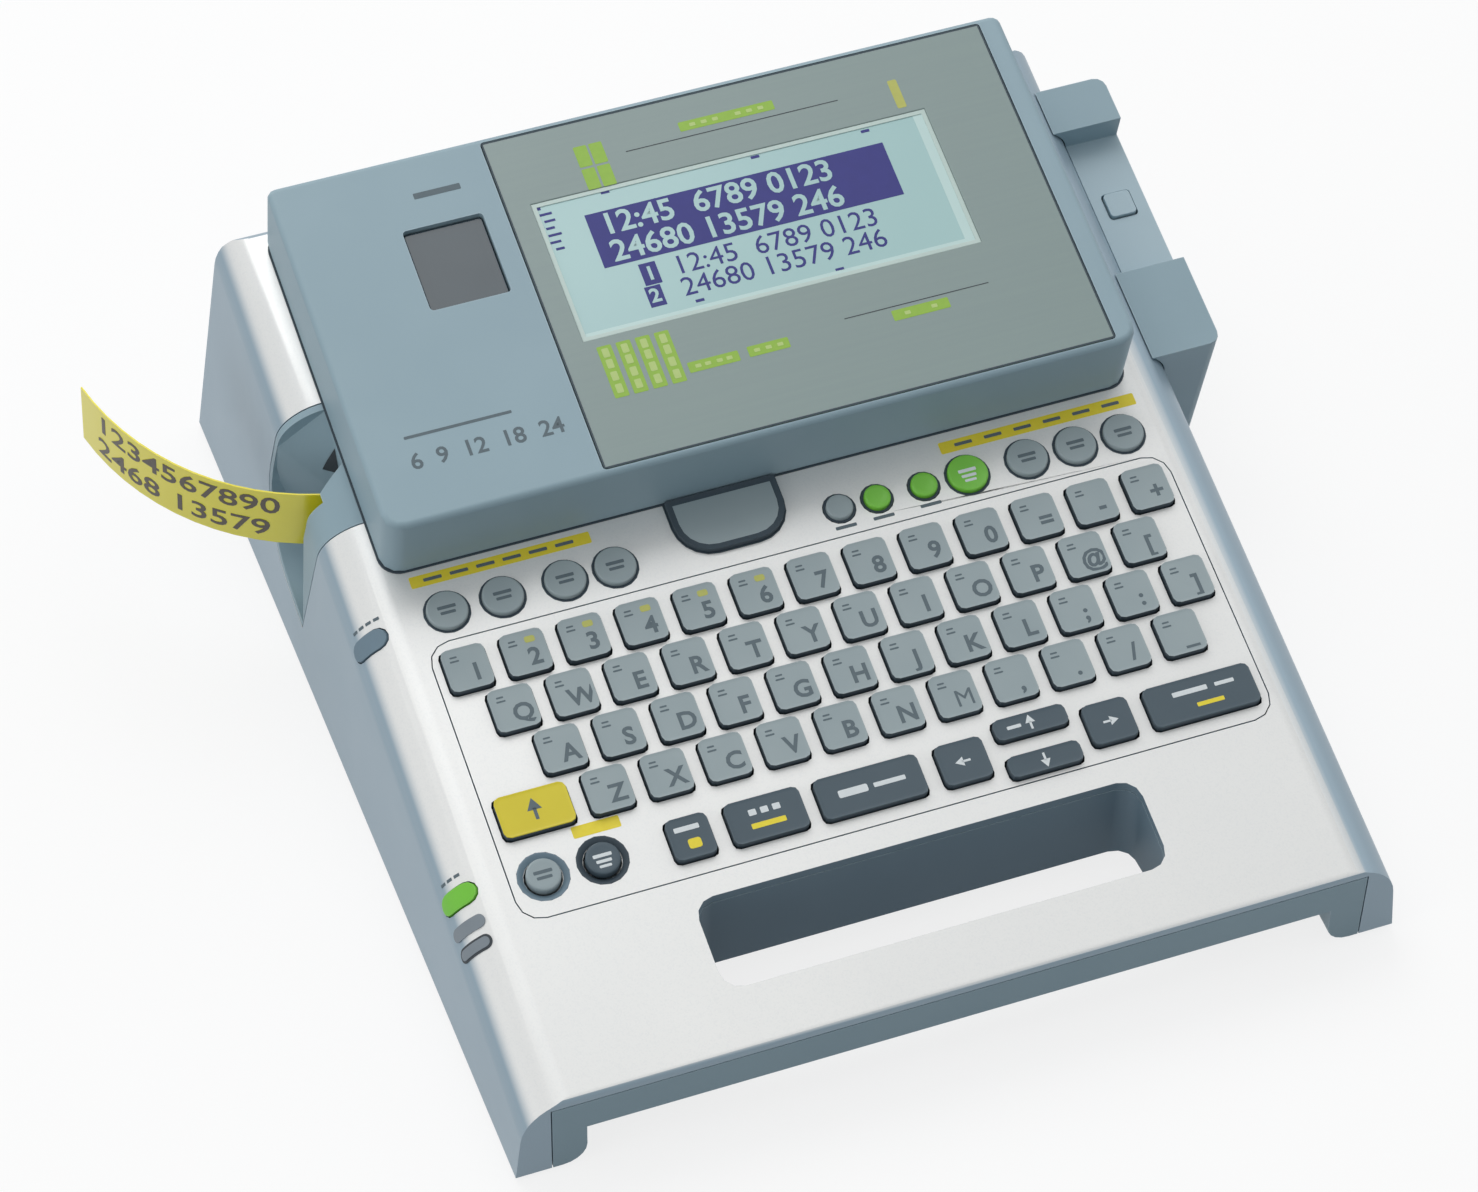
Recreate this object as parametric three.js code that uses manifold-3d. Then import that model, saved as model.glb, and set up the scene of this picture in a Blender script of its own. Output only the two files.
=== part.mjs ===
// Desktop label printer: a sloping keyboard deck on a lower case with a carrying handle, a cover
// that carries the display and hinges up at the back over the tape cassette, and a strip of
// printed tape leaving through the left shoulder.
// Millimetres. +X right, +Y from the front edge to the back, +Z up.
import * as THREE from 'three';
import { mergeVertices } from 'three/addons/utils/BufferGeometryUtils.js';
import Module from 'manifold-3d';

const wasm = await Module();
wasm.setup();

// Driving dimensions
const degrees = THREE.MathUtils.degToRad;
const gap = 0.3; // left between pieces that touch
const overrun = 5; // how far a cutter runs past the solid it cuts

const body = {
  width: 219.4, // across the shoulders
  depth: 250, // front edge to the foot of the back wall
  frontHeight: 26.6, // deck above the desk at the front edge
  slope: degrees(11.7), // rise of the deck
  wallDraft: degrees(5.9), // flare of the side walls
  backLean: degrees(6), // forward lean of the back wall
  wall: 2.4,
  shoulderRadius: 12.5,
  backEdgeRadius: 5,
  frontEdgeRadius: 1.5,
  lift: 1.2, // underside above the desk
  cornerReturn: 7.5, // how far the upper case wraps round each front corner
};

const base = {
  floor: 2.5,
  skin: 2.2, // walls and the sloping underside
  rim: 9, // height of the side rims above the desk
  legWidth: 16.2, // each front leg, measured in from the shoulder
  archHeight: 14, // clear height under the front band
  archRearHeight: 6.5,
  archDepthShare: 0.176, // of the body's depth
  archRadius: 5,
  legRadius: 6, // inner bottom edge of each front leg
};

const handle = {
  widthShare: 0.5096, // of the body's width
  gripShare: 0.06, // of the body's depth: front band that the fingers close round
  reachShare: 0.0932, // of the body's depth: opening from the grip back
  radius: 5,
};

const keyboard = {
  shift: 1.3, // the keys sit a little right of the middle of the body
  sideMargin: 14.2, // each side of the body
  frontShare: 0.18, // of the body's depth, up the deck
  depthShare: 0.3052,
  radius: 6,
  flange: 1.8, // overlap under the deck
  flangeThickness: 1.6,
  rimWall: 1.6, // rim that holds the circuit board
  matThickness: 2,
  boardThickness: 1.6,
};

const key = {
  pitchShare: 0.07644, // of the keyboard's width
  rowPitchShare: 0.17562, // of the keyboard's depth
  widthShare: 0.74, // of the key pitch
  depthShare: 0.858, // of the row pitch
  radius: 1.6,
  rise: 1.75, // top above the deck
  travel: 1.2,
  clearance: 0.4, // round each cap in the panel
  web: 1.2, // thickness of the web or flange under the panel
  webMarginShare: 0.058, // of the row pitch: how far the web reaches past a cap
  lowerRowShare: 0.3539, // of the keyboard's depth, to the lowest row of character keys
  commandRowShare: 0.1245, // the same to the row of command keys
};

// Character rows: how many keys, where the first one stands in key pitches from the middle, and
// how many row pitches above the lowest character row
const characterRows = [
  { name: 'number_row_keys', count: 13, firstShare: -6, upShare: 3 },
  { name: 'upper_row_keys', count: 12, firstShare: -5.5, upShare: 2 },
  { name: 'home_row_keys', count: 12, firstShare: -5, upShare: 1 },
  { name: 'lower_row_keys', count: 11, firstShare: -4.5, upShare: 0 },
];

// Command keys: edges in key pitches from the middle, centre and depth in row pitches from the
// command row
const commandKeys = [
  { name: 'shift_key', leftShare: -6.36, rightShare: -5.14, upShare: 1.29, depthShare: 0.82 },
  { name: 'input_mode_key', leftShare: -3.85, rightShare: -3.14, upShare: 0, depthShare: 0.82 },
  { name: 'code_key', leftShare: -2.85, rightShare: -1.56, upShare: 0, depthShare: 0.82 },
  { name: 'space_key', leftShare: -1.31, rightShare: 0.49, upShare: 0, depthShare: 0.82 },
  { name: 'left_arrow_key', leftShare: 0.79, rightShare: 1.62, upShare: 0, depthShare: 0.82 },
  { name: 'up_arrow_key', leftShare: 1.87, rightShare: 3.14, upShare: 0.38, depthShare: 0.42 },
  { name: 'down_arrow_key', leftShare: 1.87, rightShare: 3.14, upShare: -0.38, depthShare: 0.42 },
  { name: 'right_arrow_key', leftShare: 3.38, rightShare: 4.18, upShare: 0, depthShare: 0.82 },
  { name: 'enter_key', leftShare: 4.46, rightShare: 6.36, upShare: 0, depthShare: 0.82 },
];

const roundButton = {
  rowShare: 0.5152, // of the body's depth, up the deck to the row above the keyboard
  radiusShare: 0.37, // of the key pitch
  smallRadiusShare: 0.26,
  rise: 1.4,
  travel: 1.2,
  clearance: 0.45,
  flangeShare: 0.062, // of the key pitch: how far the flange reaches past the cap
  flangeThickness: 1.2,
  ringRowShare: 0.1363, // of the keyboard's depth, to the two buttons left of the command keys
  ringRadiusShare: 0.288, // of the key pitch
  dishRadiusShare: 0.438, // dished ring round each of those two
  dishDepth: 1,
  steps: 16,
};

// Round buttons above the keyboard, with their places in key pitches from the middle
const roundButtons = [
  { name: 'file_button', atShare: -5.985, size: 'radiusShare', finish: 'greyKey' },
  { name: 'style_button', atShare: -5.026, size: 'radiusShare', finish: 'greyKey' },
  { name: 'format_button', atShare: -3.945, size: 'radiusShare', finish: 'greyKey' },
  { name: 'frame_button', atShare: -3.071, size: 'radiusShare', finish: 'greyKey' },
  { name: 'clear_button', atShare: 0.88, size: 'smallRadiusShare', finish: 'greyKey' },
  { name: 'preview_button', atShare: 1.553, size: 'smallRadiusShare', finish: 'greenKey' },
  { name: 'feed_button', atShare: 2.393, size: 'smallRadiusShare', finish: 'greenKey' },
  { name: 'print_button', atShare: 3.179, size: 'radiusShare', finish: 'greenKey' },
  { name: 'memory_button', atShare: 4.258, size: 'radiusShare', finish: 'greyKey' },
  { name: 'settings_button', atShare: 5.139, size: 'radiusShare', finish: 'greyKey' },
  { name: 'copies_button', atShare: 6.009, size: 'radiusShare', finish: 'greyKey' },
];
const ringButtons = [
  { name: 'symbol_button', atShare: -5.966, finish: 'greyKey' },
  { name: 'rules_button', atShare: -4.966, finish: 'darkKey' },
];

const releaseButton = {
  widthShare: 0.1285, // of the body's width
  depthShare: 0.0636, // of the body's depth
  middleShare: -0.0574, // of the body's width, from the middle of the body
  frontShare: 0.5036, // of the body's depth, up the deck
  radius: 9, // the two corners towards the user
  rise: 1.6,
  travel: 2,
  clearance: 0.5,
  flange: 1,
  flangeThickness: 1.4,
};

const shoulderPill = {
  length: 11, // round the shoulder
  width: 5.2,
  rise: 0.5,
  tilt: degrees(46), // from the deck normal
  travel: 0.8,
  clearance: 0.3,
  flange: 0.7,
  flangeThickness: 1.4,
  powerShare: 0.2296, // of the body's depth, up the deck
  cutShare: 0.5096,
};

const cover = {
  leftMargin: 12.2, // in from the side of the body
  rightMargin: 14.1,
  frontShare: 0.5688, // of the body's depth, up the deck
  backMargin: 7.3, // in from the back of the body
  height: 21.3,
  underGap: 0.5, // above the deck
  radius: 5, // front corners in plan
  backRadius: 2.4, // back corners in plan
  edgeRadius: 1.6,
  wall: 2.2,
  top: 3.2,
  hingeRadius: 6, // round back edge, centred on the hinge
  notchAbove: 3.5, // lug notch above the hinge
  hookWidth: 10,
  hookThickness: 2.4,
  hookDrop: 6, // below the deck
  hookSwing: 1, // room in front of the hook as it swings out
};

const hinge = {
  inset: 26, // lug from the side of the cover
  lugWidth: 6,
  lugRadius: 3,
  ribWidth: 3,
  ribReach: 4, // in front of the pin
  sideClearance: 0.4,
  pinRadius: 1.6,
  pinSteps: 12,
};

const display = {
  rightMargin: 6.1, // in from the right of the cover
  widthShare: 0.6841, // of the cover's width
  frontMargin: 1.8,
  backMargin: 1.8,
  thickness: 1.5,
  radius: 1,
  glassLeftShare: 0.05, // of the display's width, in from its left
  glassWidthShare: 0.7812,
  glassFrontShare: 0.3711, // of the cover's depth, in from its front
  glassDepthShare: 0.405,
  sunk: 0.4, // glass below the panel
  moduleMargin: 4,
  moduleThickness: 5,
};

const tapeWindow = {
  leftShare: 0.1491, // of the cover's width, in from its left
  widthShare: 0.1036,
  frontShare: 0.5572, // of the cover's depth, in from its front
  depthShare: 0.2299,
  radius: 1,
  sunk: 1.3,
  flange: 2,
  flangeThickness: 1.4,
};

const bay = {
  fromExit: 6, // right of the innermost face of the tape exit
  widthShare: 0.3829, // of the body's width
  frontShare: 0.624, // of the body's depth, up the deck
  backShare: 0.904,
  floorLevel: -36, // top of the floor, from the deck
  floor: 2,
  wall: 1.8,
  postRadius: 3,
  postLevel: -10,
};

const cassette = {
  leftMargin: 14, // in from the left of the bay, past the print head
  rightMargin: 4,
  frontMargin: 5,
  backMargin: 4,
  top: -2.2,
  radius: 4,
  wall: 2,
  spoolShare: 0.3152, // radius, of the mean of the cassette's width and depth
  ribbonShare: 0.1418,
  spoolGap: 1, // round each spool
  hubWall: 3,
};

const tape = {
  width: 24,
  thickness: 0.4,
  top: -5, // upper edge, from the deck
  pathShare: 0.6768, // of the body's depth, up the deck to the straight run
  bendMargin: 2, // right of the left of the bay, where the curl starts
  curlRadius: 65.5,
  curl: degrees(74),
  steps: 16,
};

const platen = {
  fromBay: 8, // right of the left of the bay
  radius: 4.5,
  margin: 1.5, // roller past each edge of the tape
  shaftRadius: 1.5,
  steps: 16,
};

const head = { width: 8, depth: 8, fromBay: 7.5, top: -4 };

const drive = {
  module: 0.8,
  gearTeeth: 24,
  pinionTeeth: 12,
  width: 3.2,
  backlash: 0.12, // added to the centre distance
  motorRadius: 9,
  motorShare: 0.052, // of the body's depth: length of the motor
  shaftRadius: 1,
  postRadius: 1.5,
  postSpread: 5, // posts either side of the motor's middle
  postBack: 6, // posts behind the motor's middle
};
// Tooth outline: half widths in tooth pitches, heights in modules
const toothShares = { root: 0.34, tip: 0.14, addendum: 0.95, dedendum: 1.25 };

const cutter = { thickness: 2, restAhead: 4.2, travel: 3.8, depth: 13, margin: 2 };

const exit = {
  fenderShare: 0.632, // of the body's depth, up the deck: front edge of the rounded fender
  lipShare: 0.668, // back edge of the fender at the shoulder
  lipFootShare: 0.632, // the same at the foot of the recess
  lipSpread: 2, // how far outside the shoulder the fender ends
  bendLevel: -17, // where the fender's back edge starts to slant
  backShare: 0.764,
  foot: -43, // lowest level of the recess, from the deck
  footRadiusShare: 0.08, // of the body's depth
  reach: 12.7, // depth of the recess, in from the side of the body
  throatShare: 0.704, // where the fender meets the sloping back of the recess
  throatLevel: -20, // lowest level of the scoop at the throat
  liner: 1.8,
  slotAhead: 1.6, // slot in front of the tape
  slotBehind: 2.6,
  slotMargin: 2,
  tunnelBehind: 4.6, // the same slot where the tape has begun to curl
};

const side = {
  reach: 14.3, // out from the side of the body
  frontShare: 0.594, // of the body's depth, up the deck
  backShare: 0.928,
  top: -2.5, // from the deck
  shelf: -10,
  shelfFrontShare: 0.698,
  shelfBackShare: 0.874,
  radius: 3, // outer corners in plan
  wall: 2.2,
  lift: 3.4, // above the desk
  buttonReach: 7.1, // out from the side of the body to the middle of the button
  buttonShare: 0.792, // of the body's depth, up the deck
  buttonSize: 7,
  buttonRadius: 1,
  buttonRise: 0.8,
  buttonTravel: 1.5,
  buttonClearance: 0.4,
  buttonFlange: 1,
};

const battery = {
  leftShare: -0.1732, // of the body's width, from the middle
  widthShare: 0.5378,
  frontShare: 0.6, // of the body's depth
  depthShare: 0.232,
  headroom: 1.6, // pack to the cassette bay above it
  radius: 3,
  fit: 0.6, // round the pack
  doorMargin: 6,
  doorThickness: 1.6,
  doorTravel: 12,
  tongue: 1.5, // rails along the sides of the door, in grooves of the case
  tongueThickness: 0.7,
};

const foot = { radius: 4, height: 2.2, sunk: 1.3, steps: 16, fromFront: 14, fromBack: 18, fromSide: 10.6 };

const finishes = {
  silver: { color: 0xd9dcdf, roughness: 0.38, metalness: 0.35 },
  blueGrey: { color: 0x8fa3ad, roughness: 0.5, metalness: 0 },
  darkBlueGrey: { color: 0x5f717d, roughness: 0.55, metalness: 0 },
  greyKey: { color: 0x98a5ac, roughness: 0.55, metalness: 0 },
  darkKey: { color: 0x4b5c66, roughness: 0.5, metalness: 0 },
  greenKey: { color: 0x5cb441, roughness: 0.4, metalness: 0 },
  yellowKey: { color: 0xd8c828, roughness: 0.5, metalness: 0 },
  panel: { color: 0x8d9899, roughness: 0.3, metalness: 0 },
  lcd: { color: 0xbee1e1, roughness: 0.15, metalness: 0 },
  smoked: { color: 0x5c6971, roughness: 0.12, metalness: 0 },
  tape: { color: 0xe4d732, roughness: 0.35, metalness: 0 },
  rubber: { color: 0x3a3d40, roughness: 0.9, metalness: 0 },
  board: { color: 0x2f6b45, roughness: 0.6, metalness: 0 },
  steel: { color: 0xb9bcbf, roughness: 0.3, metalness: 0.9 },
  cell: { color: 0x2e3338, roughness: 0.5, metalness: 0 },
  clearGrey: { color: 0xc9ced2, roughness: 0.3, metalness: 0 },
};

// Places and sizes that follow from the driving dimensions
const bodyHalf = body.width / 2;
const upDeck = (share) => share * body.depth;
const handleWidth = handle.widthShare * body.width;
const grip = upDeck(handle.gripShare);
const handleReach = upDeck(handle.reachShare);
const keyboardWidth = body.width - 2 * keyboard.sideMargin;
const keyboardDepth = upDeck(keyboard.depthShare);
const keyboardFront = upDeck(keyboard.frontShare);
const keyPitch = key.pitchShare * keyboardWidth;
const rowPitch = key.rowPitchShare * keyboardDepth;
const across = (share) => keyboard.shift + share * keyPitch;
const characterRowAt = (share) => keyboardFront + key.lowerRowShare * keyboardDepth + share * rowPitch;
const commandRowAt = (share) => keyboardFront + key.commandRowShare * keyboardDepth + share * rowPitch;
const ringRow = keyboardFront + roundButton.ringRowShare * keyboardDepth;
const roundRow = upDeck(roundButton.rowShare);
const coverLeft = cover.leftMargin - bodyHalf;
const coverRight = bodyHalf - cover.rightMargin;
const coverWidth = coverRight - coverLeft;
const coverFront = upDeck(cover.frontShare);
const coverBack = body.depth - cover.backMargin;
const coverDepth = coverBack - coverFront;
const coverTop = cover.underGap + cover.height;
const hingeY = coverBack - cover.hingeRadius;
const hingeZ = cover.underGap + cover.hingeRadius;
const hingePlaces = [coverLeft + hinge.inset, coverRight - hinge.inset];
const displayWidth = display.widthShare * coverWidth;
const displayLeft = coverRight - display.rightMargin - displayWidth;
const glass = {
  left: displayLeft + display.glassLeftShare * displayWidth,
  front: coverFront + display.glassFrontShare * coverDepth,
  width: display.glassWidthShare * displayWidth,
  depth: display.glassDepthShare * coverDepth,
};
const pane = {
  left: coverLeft + tapeWindow.leftShare * coverWidth,
  front: coverFront + tapeWindow.frontShare * coverDepth,
  width: tapeWindow.widthShare * coverWidth,
  depth: tapeWindow.depthShare * coverDepth,
};
const exitInner = exit.reach - bodyHalf;
const exitBack = upDeck(exit.backShare);
const bayLeft = exitInner + bay.fromExit;
const bayRight = bayLeft + bay.widthShare * body.width;
const bayFront = upDeck(bay.frontShare);
const bayBack = upDeck(bay.backShare);
const cassetteLeft = bayLeft + cassette.leftMargin;
const cassetteRight = bayRight - cassette.rightMargin;
const cassetteFront = bayFront + cassette.frontMargin;
const cassetteBack = bayBack - cassette.backMargin;
const cassetteMean = (cassetteRight - cassetteLeft + cassetteBack - cassetteFront) / 2;
const tapePath = upDeck(tape.pathShare);
const platenX = bayLeft + platen.fromBay;
const batteryLeft = battery.leftShare * body.width;
const batteryRight = batteryLeft + battery.widthShare * body.width;
const batteryFront = upDeck(battery.frontShare);
const batteryBack = batteryFront + upDeck(battery.depthShare);

// Outlines
function outline(corners, steps = 3) {
  const places = corners.map(([x, y]) => new THREE.Vector2(x, y));
  return corners.flatMap(([, , radius = 0], i) => {
    const corner = places[i];
    if (radius === 0) return [corner];
    const back = places[(i + places.length - 1) % places.length].clone().sub(corner).normalize();
    const ahead = places[(i + 1) % places.length].clone().sub(corner).normalize();
    const half = Math.acos(back.dot(ahead)) / 2;
    const centre = back.clone().add(ahead).setLength(radius / Math.sin(half)).add(corner);
    const start = back.setLength(radius / Math.tan(half)).add(corner).sub(centre);
    const end = ahead.setLength(radius / Math.tan(half)).add(corner).sub(centre);
    const sweep = Math.atan2(start.cross(end), start.dot(end));
    return Array.from({ length: steps + 1 }, (_, k) => {
      const angle = start.angle() + (sweep * k) / steps;
      return new THREE.Vector2(Math.cos(angle), Math.sin(angle)).multiplyScalar(radius).add(centre);
    });
  });
}

function rectangle(x0, y0, x1, y1, radius = 0, steps = 3) {
  return outline([[x0, y0, radius], [x1, y0, radius], [x1, y1, radius], [x0, y1, radius]], steps);
}

function disc(x, y, radius, steps) {
  return Array.from({ length: steps }, (_, k) => {
    const angle = (2 * Math.PI * k) / steps;
    return new THREE.Vector2(x + radius * Math.cos(angle), y + radius * Math.sin(angle));
  });
}

// Extrusions: rising takes an outline in x and y, running one in x and z, spanning one in y and z
function extrude(points, length) {
  return new THREE.ExtrudeGeometry(new THREE.Shape(points), { depth: length, bevelEnabled: false });
}

function rising(points, low, high) {
  return extrude(points, high - low).translate(0, 0, low);
}

function running(points, front, back) {
  return extrude(points, back - front).rotateX(Math.PI / 2).translate(0, back, 0);
}

function spanning(points, left, right) {
  const turn = new THREE.Matrix4().makeBasis(
    new THREE.Vector3(0, 1, 0), new THREE.Vector3(0, 0, 1), new THREE.Vector3(1, 0, 0));
  return extrude(points, right - left).applyMatrix4(turn).translate(left, 0, 0);
}

function block(x0, x1, y0, y1, z0, z1) {
  return rising(rectangle(x0, y0, x1, y1), z0, z1);
}

function post(x, y, radius, low, high, steps) {
  return rising(disc(x, y, radius, steps), low, high);
}

// Solids: joins and cuts
function solid(geometry) {
  const bare = geometry.clone();
  bare.deleteAttribute('normal');
  bare.deleteAttribute('uv');
  const merged = mergeVertices(bare);
  return new wasm.Manifold(new wasm.Mesh({
    numProp: 3,
    vertProperties: new Float32Array(merged.attributes.position.array),
    triVerts: new Uint32Array(merged.index.array),
  }));
}

function join(...geometries) {
  return geometries.map(solid).reduce((whole, next) => whole.add(next));
}

function cut(from, ...cutters) {
  return cutters.reduce((rest, next) => rest.subtract(next), from);
}

function toGeometry(manifold) {
  const mesh = manifold.getMesh();
  const geometry = new THREE.BufferGeometry();
  geometry.setAttribute('position', new THREE.BufferAttribute(new Float32Array(mesh.vertProperties), 3));
  geometry.setIndex(new THREE.BufferAttribute(new Uint32Array(mesh.triVerts), 1));
  const faceted = geometry.toNonIndexed();
  faceted.computeVertexNormals();
  return faceted;
}

function addPiece(parent, name, manifold, finish) {
  const mesh = new THREE.Mesh(toGeometry(manifold), new THREE.MeshStandardMaterial(finishes[finish]));
  mesh.name = name;
  parent.add(mesh);
}

// The deck frame: x across, y up the slope from the front edge, z along the deck normal
const deckMatrix = new THREE.Matrix4()
  .makeRotationX(body.slope)
  .setPosition(0, 0, body.frontHeight);
const undeckMatrix = deckMatrix.clone().invert();
const printer = new THREE.Group();
const deck = new THREE.Group();
deck.position.setZ(body.frontHeight);
deck.rotation.x = body.slope;
printer.add(deck);

function onDeck(geometry) {
  return geometry.applyMatrix4(deckMatrix);
}

// Levels and places that several pieces share, in the deck frame
const underDeck = -(body.wall + gap);
const panelUnder = underDeck - keyboard.flangeThickness;
const webTop = panelUnder - gap;
const webUnder = webTop - key.web;
const matTop = webUnder - key.travel - gap;
const matUnder = matTop - keyboard.matThickness;
const boardTop = matUnder - gap;
const tall = body.frontHeight + body.depth * Math.tan(body.slope) + overrun;
const wide = bodyHalf + tall;

// Body shape: the cross-section square to the deck, and the side view
function bodySection(inset) {
  const centre = bodyHalf - body.shoulderRadius;
  const radius = body.shoulderRadius - inset;
  const steps = 9;
  const arc = Array.from({ length: steps + 1 }, (_, k) => {
    const angle = body.wallDraft + ((Math.PI / 2 - body.wallDraft) * k) / steps;
    return [centre + radius * Math.cos(angle), radius * Math.sin(angle) - body.shoulderRadius];
  });
  const [tangentX, tangentZ] = arc[0];
  const footX = tangentX + (tangentZ + tall) * Math.tan(body.wallDraft);
  const right = [[footX, -tall], ...arc];
  const left = right.map(([x, z]) => [-x, z]).reverse();
  return [...right, ...left].map(([x, z]) => new THREE.Vector2(x, z));
}

function bodyLength(inset) {
  return solid(onDeck(running(bodySection(inset), -tall, body.depth + tall)));
}

function backAt(z, inset) {
  return body.depth - inset / Math.cos(body.backLean) - z * Math.tan(body.backLean);
}

function bodyInside(inset, low) {
  const room = [[inset, low], [backAt(low, inset), low], [backAt(tall, inset), tall], [inset, tall]];
  return bodyLength(inset).intersect(solid(spanning(outline(room), -wide, wide)));
}

function bodyOutside() {
  const lean = Math.tan(body.backLean);
  const rise = Math.tan(body.slope);
  const cornerY = (body.depth - body.frontHeight * lean) / (1 + rise * lean);
  const cornerZ = body.frontHeight + cornerY * rise;
  const view = outline([
    [0, body.lift],
    [backAt(body.lift, 0), body.lift],
    [cornerY, cornerZ, body.backEdgeRadius],
    [0, body.frontHeight, body.frontEdgeRadius],
  ]);
  return bodyLength(0).intersect(solid(spanning(view, -wide, wide)));
}

const returnEdge = bodyHalf - body.cornerReturn;
const handleOpening = (grow) => rectangle(
  keyboard.shift - handleWidth / 2 - grow, grip - grow,
  keyboard.shift + handleWidth / 2 + grow, grip + handleReach + grow, handle.radius + grow);

// Outlines on the deck that a piece and its hole share
function panelOutline(grow) {
  return rectangle(
    keyboard.shift - keyboardWidth / 2 - grow, keyboardFront - grow,
    keyboard.shift + keyboardWidth / 2 + grow, keyboardFront + keyboardDepth + grow,
    keyboard.radius + grow);
}

function releaseOutline(grow) {
  const middle = releaseButton.middleShare * body.width;
  const half = (releaseButton.widthShare * body.width) / 2;
  const left = middle - half - grow;
  const right = middle + half + grow;
  const front = upDeck(releaseButton.frontShare) - grow;
  const back = front + upDeck(releaseButton.depthShare) + grow + grow;
  const round = releaseButton.radius + grow;
  return outline([[left, front, round], [right, front, round], [right, back], [left, back]], 5);
}

function pillSolid(at, grow, low, high) {
  const centre = bodyHalf - body.shoulderRadius;
  const length = shoulderPill.length / 2 + grow;
  const width = shoulderPill.width / 2 + grow;
  const frame = new THREE.Matrix4()
    .makeRotationY(-shoulderPill.tilt)
    .setPosition(-centre, at, -body.shoulderRadius);
  const slug = rising(rectangle(-length, -width, length, width, width), 0, high + overrun);
  const ring = (radius) => solid(
    running(disc(0, 0, radius, 48), at - width - overrun, at + width + overrun)
      .translate(-centre, 0, -body.shoulderRadius));
  return solid(slug.applyMatrix4(frame)).intersect(ring(high)).subtract(ring(low));
}

function pillHole(at) {
  const reach = body.shoulderRadius + overrun;
  const start = body.shoulderRadius - body.wall - overrun;
  return pillSolid(at, shoulderPill.clearance, start, reach);
}

const atDesk = (manifold) => solid(toGeometry(manifold).applyMatrix4(deckMatrix));
const atDeck = (manifold) => solid(toGeometry(manifold).applyMatrix4(undeckMatrix));

// Tape exit: the recess in the left shoulder, in the deck frame
function exitRecess(grow) {
  const sideView = outline([
    [upDeck(exit.lipFootShare) - grow, exit.foot - grow],
    [exitBack + grow, exit.foot - grow, upDeck(exit.footRadiusShare) + grow],
    [exitBack + grow, overrun],
    [upDeck(exit.lipShare) - grow, overrun],
    [upDeck(exit.lipShare) - grow, exit.bendLevel],
  ], 6);
  const shoulder = -bodyHalf;
  const plan = outline([
    [-wide, upDeck(exit.lipFootShare) - overrun],
    [shoulder - exit.lipSpread, upDeck(exit.lipFootShare) - overrun],
    [shoulder, upDeck(exit.lipShare)],
    [exitInner, upDeck(exit.throatShare)],
    [shoulder, exitBack],
    [-wide, exitBack + overrun],
  ]);
  return solid(spanning(sideView, -wide, exitInner))
    .intersect(solid(rising(plan, exit.foot - overrun, overrun + overrun)));
}

// Scoop: everything on the outer side of a plane through the throat, the back edge of the exit at
// the deck and the same edge at the shoulder
function exitScoop() {
  const throat = new THREE.Vector3(exitInner, upDeck(exit.throatShare), exit.throatLevel);
  const deckEdge = new THREE.Vector3(exitInner, exitBack, 0);
  const wallEdge = new THREE.Vector3(-bodyHalf, exitBack, -body.shoulderRadius);
  const across1 = deckEdge.clone().sub(throat).normalize();
  const across2 = wallEdge.clone().sub(throat);
  const outward = across1.clone().cross(across2).normalize();
  const side2 = outward.clone().cross(across1);
  const turn = new THREE.Matrix4().makeBasis(across1, side2, outward).setPosition(throat);
  const slab = block(-tall, tall, -tall, tall, 0, tall).applyMatrix4(turn);
  const room = block(-wide, exitInner, upDeck(exit.throatShare), exitBack, exit.throatLevel, overrun);
  return solid(slab).intersect(solid(room));
}

function exitPocket(grow) {
  const margin = exit.liner + grow;
  const sideView = outline([
    [upDeck(exit.fenderShare) - grow, exit.foot - margin],
    [exitBack + margin, exit.foot - margin, upDeck(exit.footRadiusShare) + margin],
    [exitBack + margin, overrun],
    [upDeck(exit.fenderShare) - grow, overrun],
  ], 6);
  return solid(spanning(sideView, -wide, exitInner + margin));
}

// Upper case
function topCase() {
  const underFront = body.frontHeight - body.wall / Math.cos(body.slope);
  const holes = [
    block(-returnEdge, returnEdge, -overrun, body.wall + overrun, -overrun, underFront),
    onDeck(rising(panelOutline(0), -tall, overrun)),
    rising(handleOpening(0), -overrun, tall),
    onDeck(rising(releaseOutline(releaseButton.clearance), -tall, overrun)),
    onDeck(block(bayLeft + bay.wall, bayRight - bay.wall, bayFront + bay.wall,
      bayBack - bay.wall, -tall, overrun)),
    onDeck(block(hookAt.left - gap, hookAt.right + gap, hookAt.front - cover.hookSwing,
      hookAt.back + gap, -tall, overrun)),
    ...roundButtons.map(({ atShare, size }) => onDeck(post(across(atShare), roundRow,
      roundButton[size] * keyPitch + roundButton.clearance, -tall, overrun, roundButton.steps))),
  ].map(solid);
  const pills = [shoulderPill.powerShare, shoulderPill.cutShare].map(
    (share) => atDesk(pillHole(upDeck(share))));
  const shell = cut(bodyOutside(), bodyInside(body.wall, -overrun), ...holes, ...pills,
    atDesk(exitPocket(gap)));
  const lugs = hingePlaces.map((x) => solid(onDeck(hingeLug(x))).subtract(solid(onDeck(pinBore(x)))));
  return lugs.reduce((whole, lug) => whole.add(lug), shell);
}

// Hinge parts, centred on x
const hookAt = {
  left: releaseButton.middleShare * body.width - cover.hookWidth / 2,
  right: releaseButton.middleShare * body.width + cover.hookWidth / 2,
  front: coverFront + cover.wall + cover.hookSwing,
  back: coverFront + cover.wall + cover.hookSwing + cover.hookThickness,
};

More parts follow.
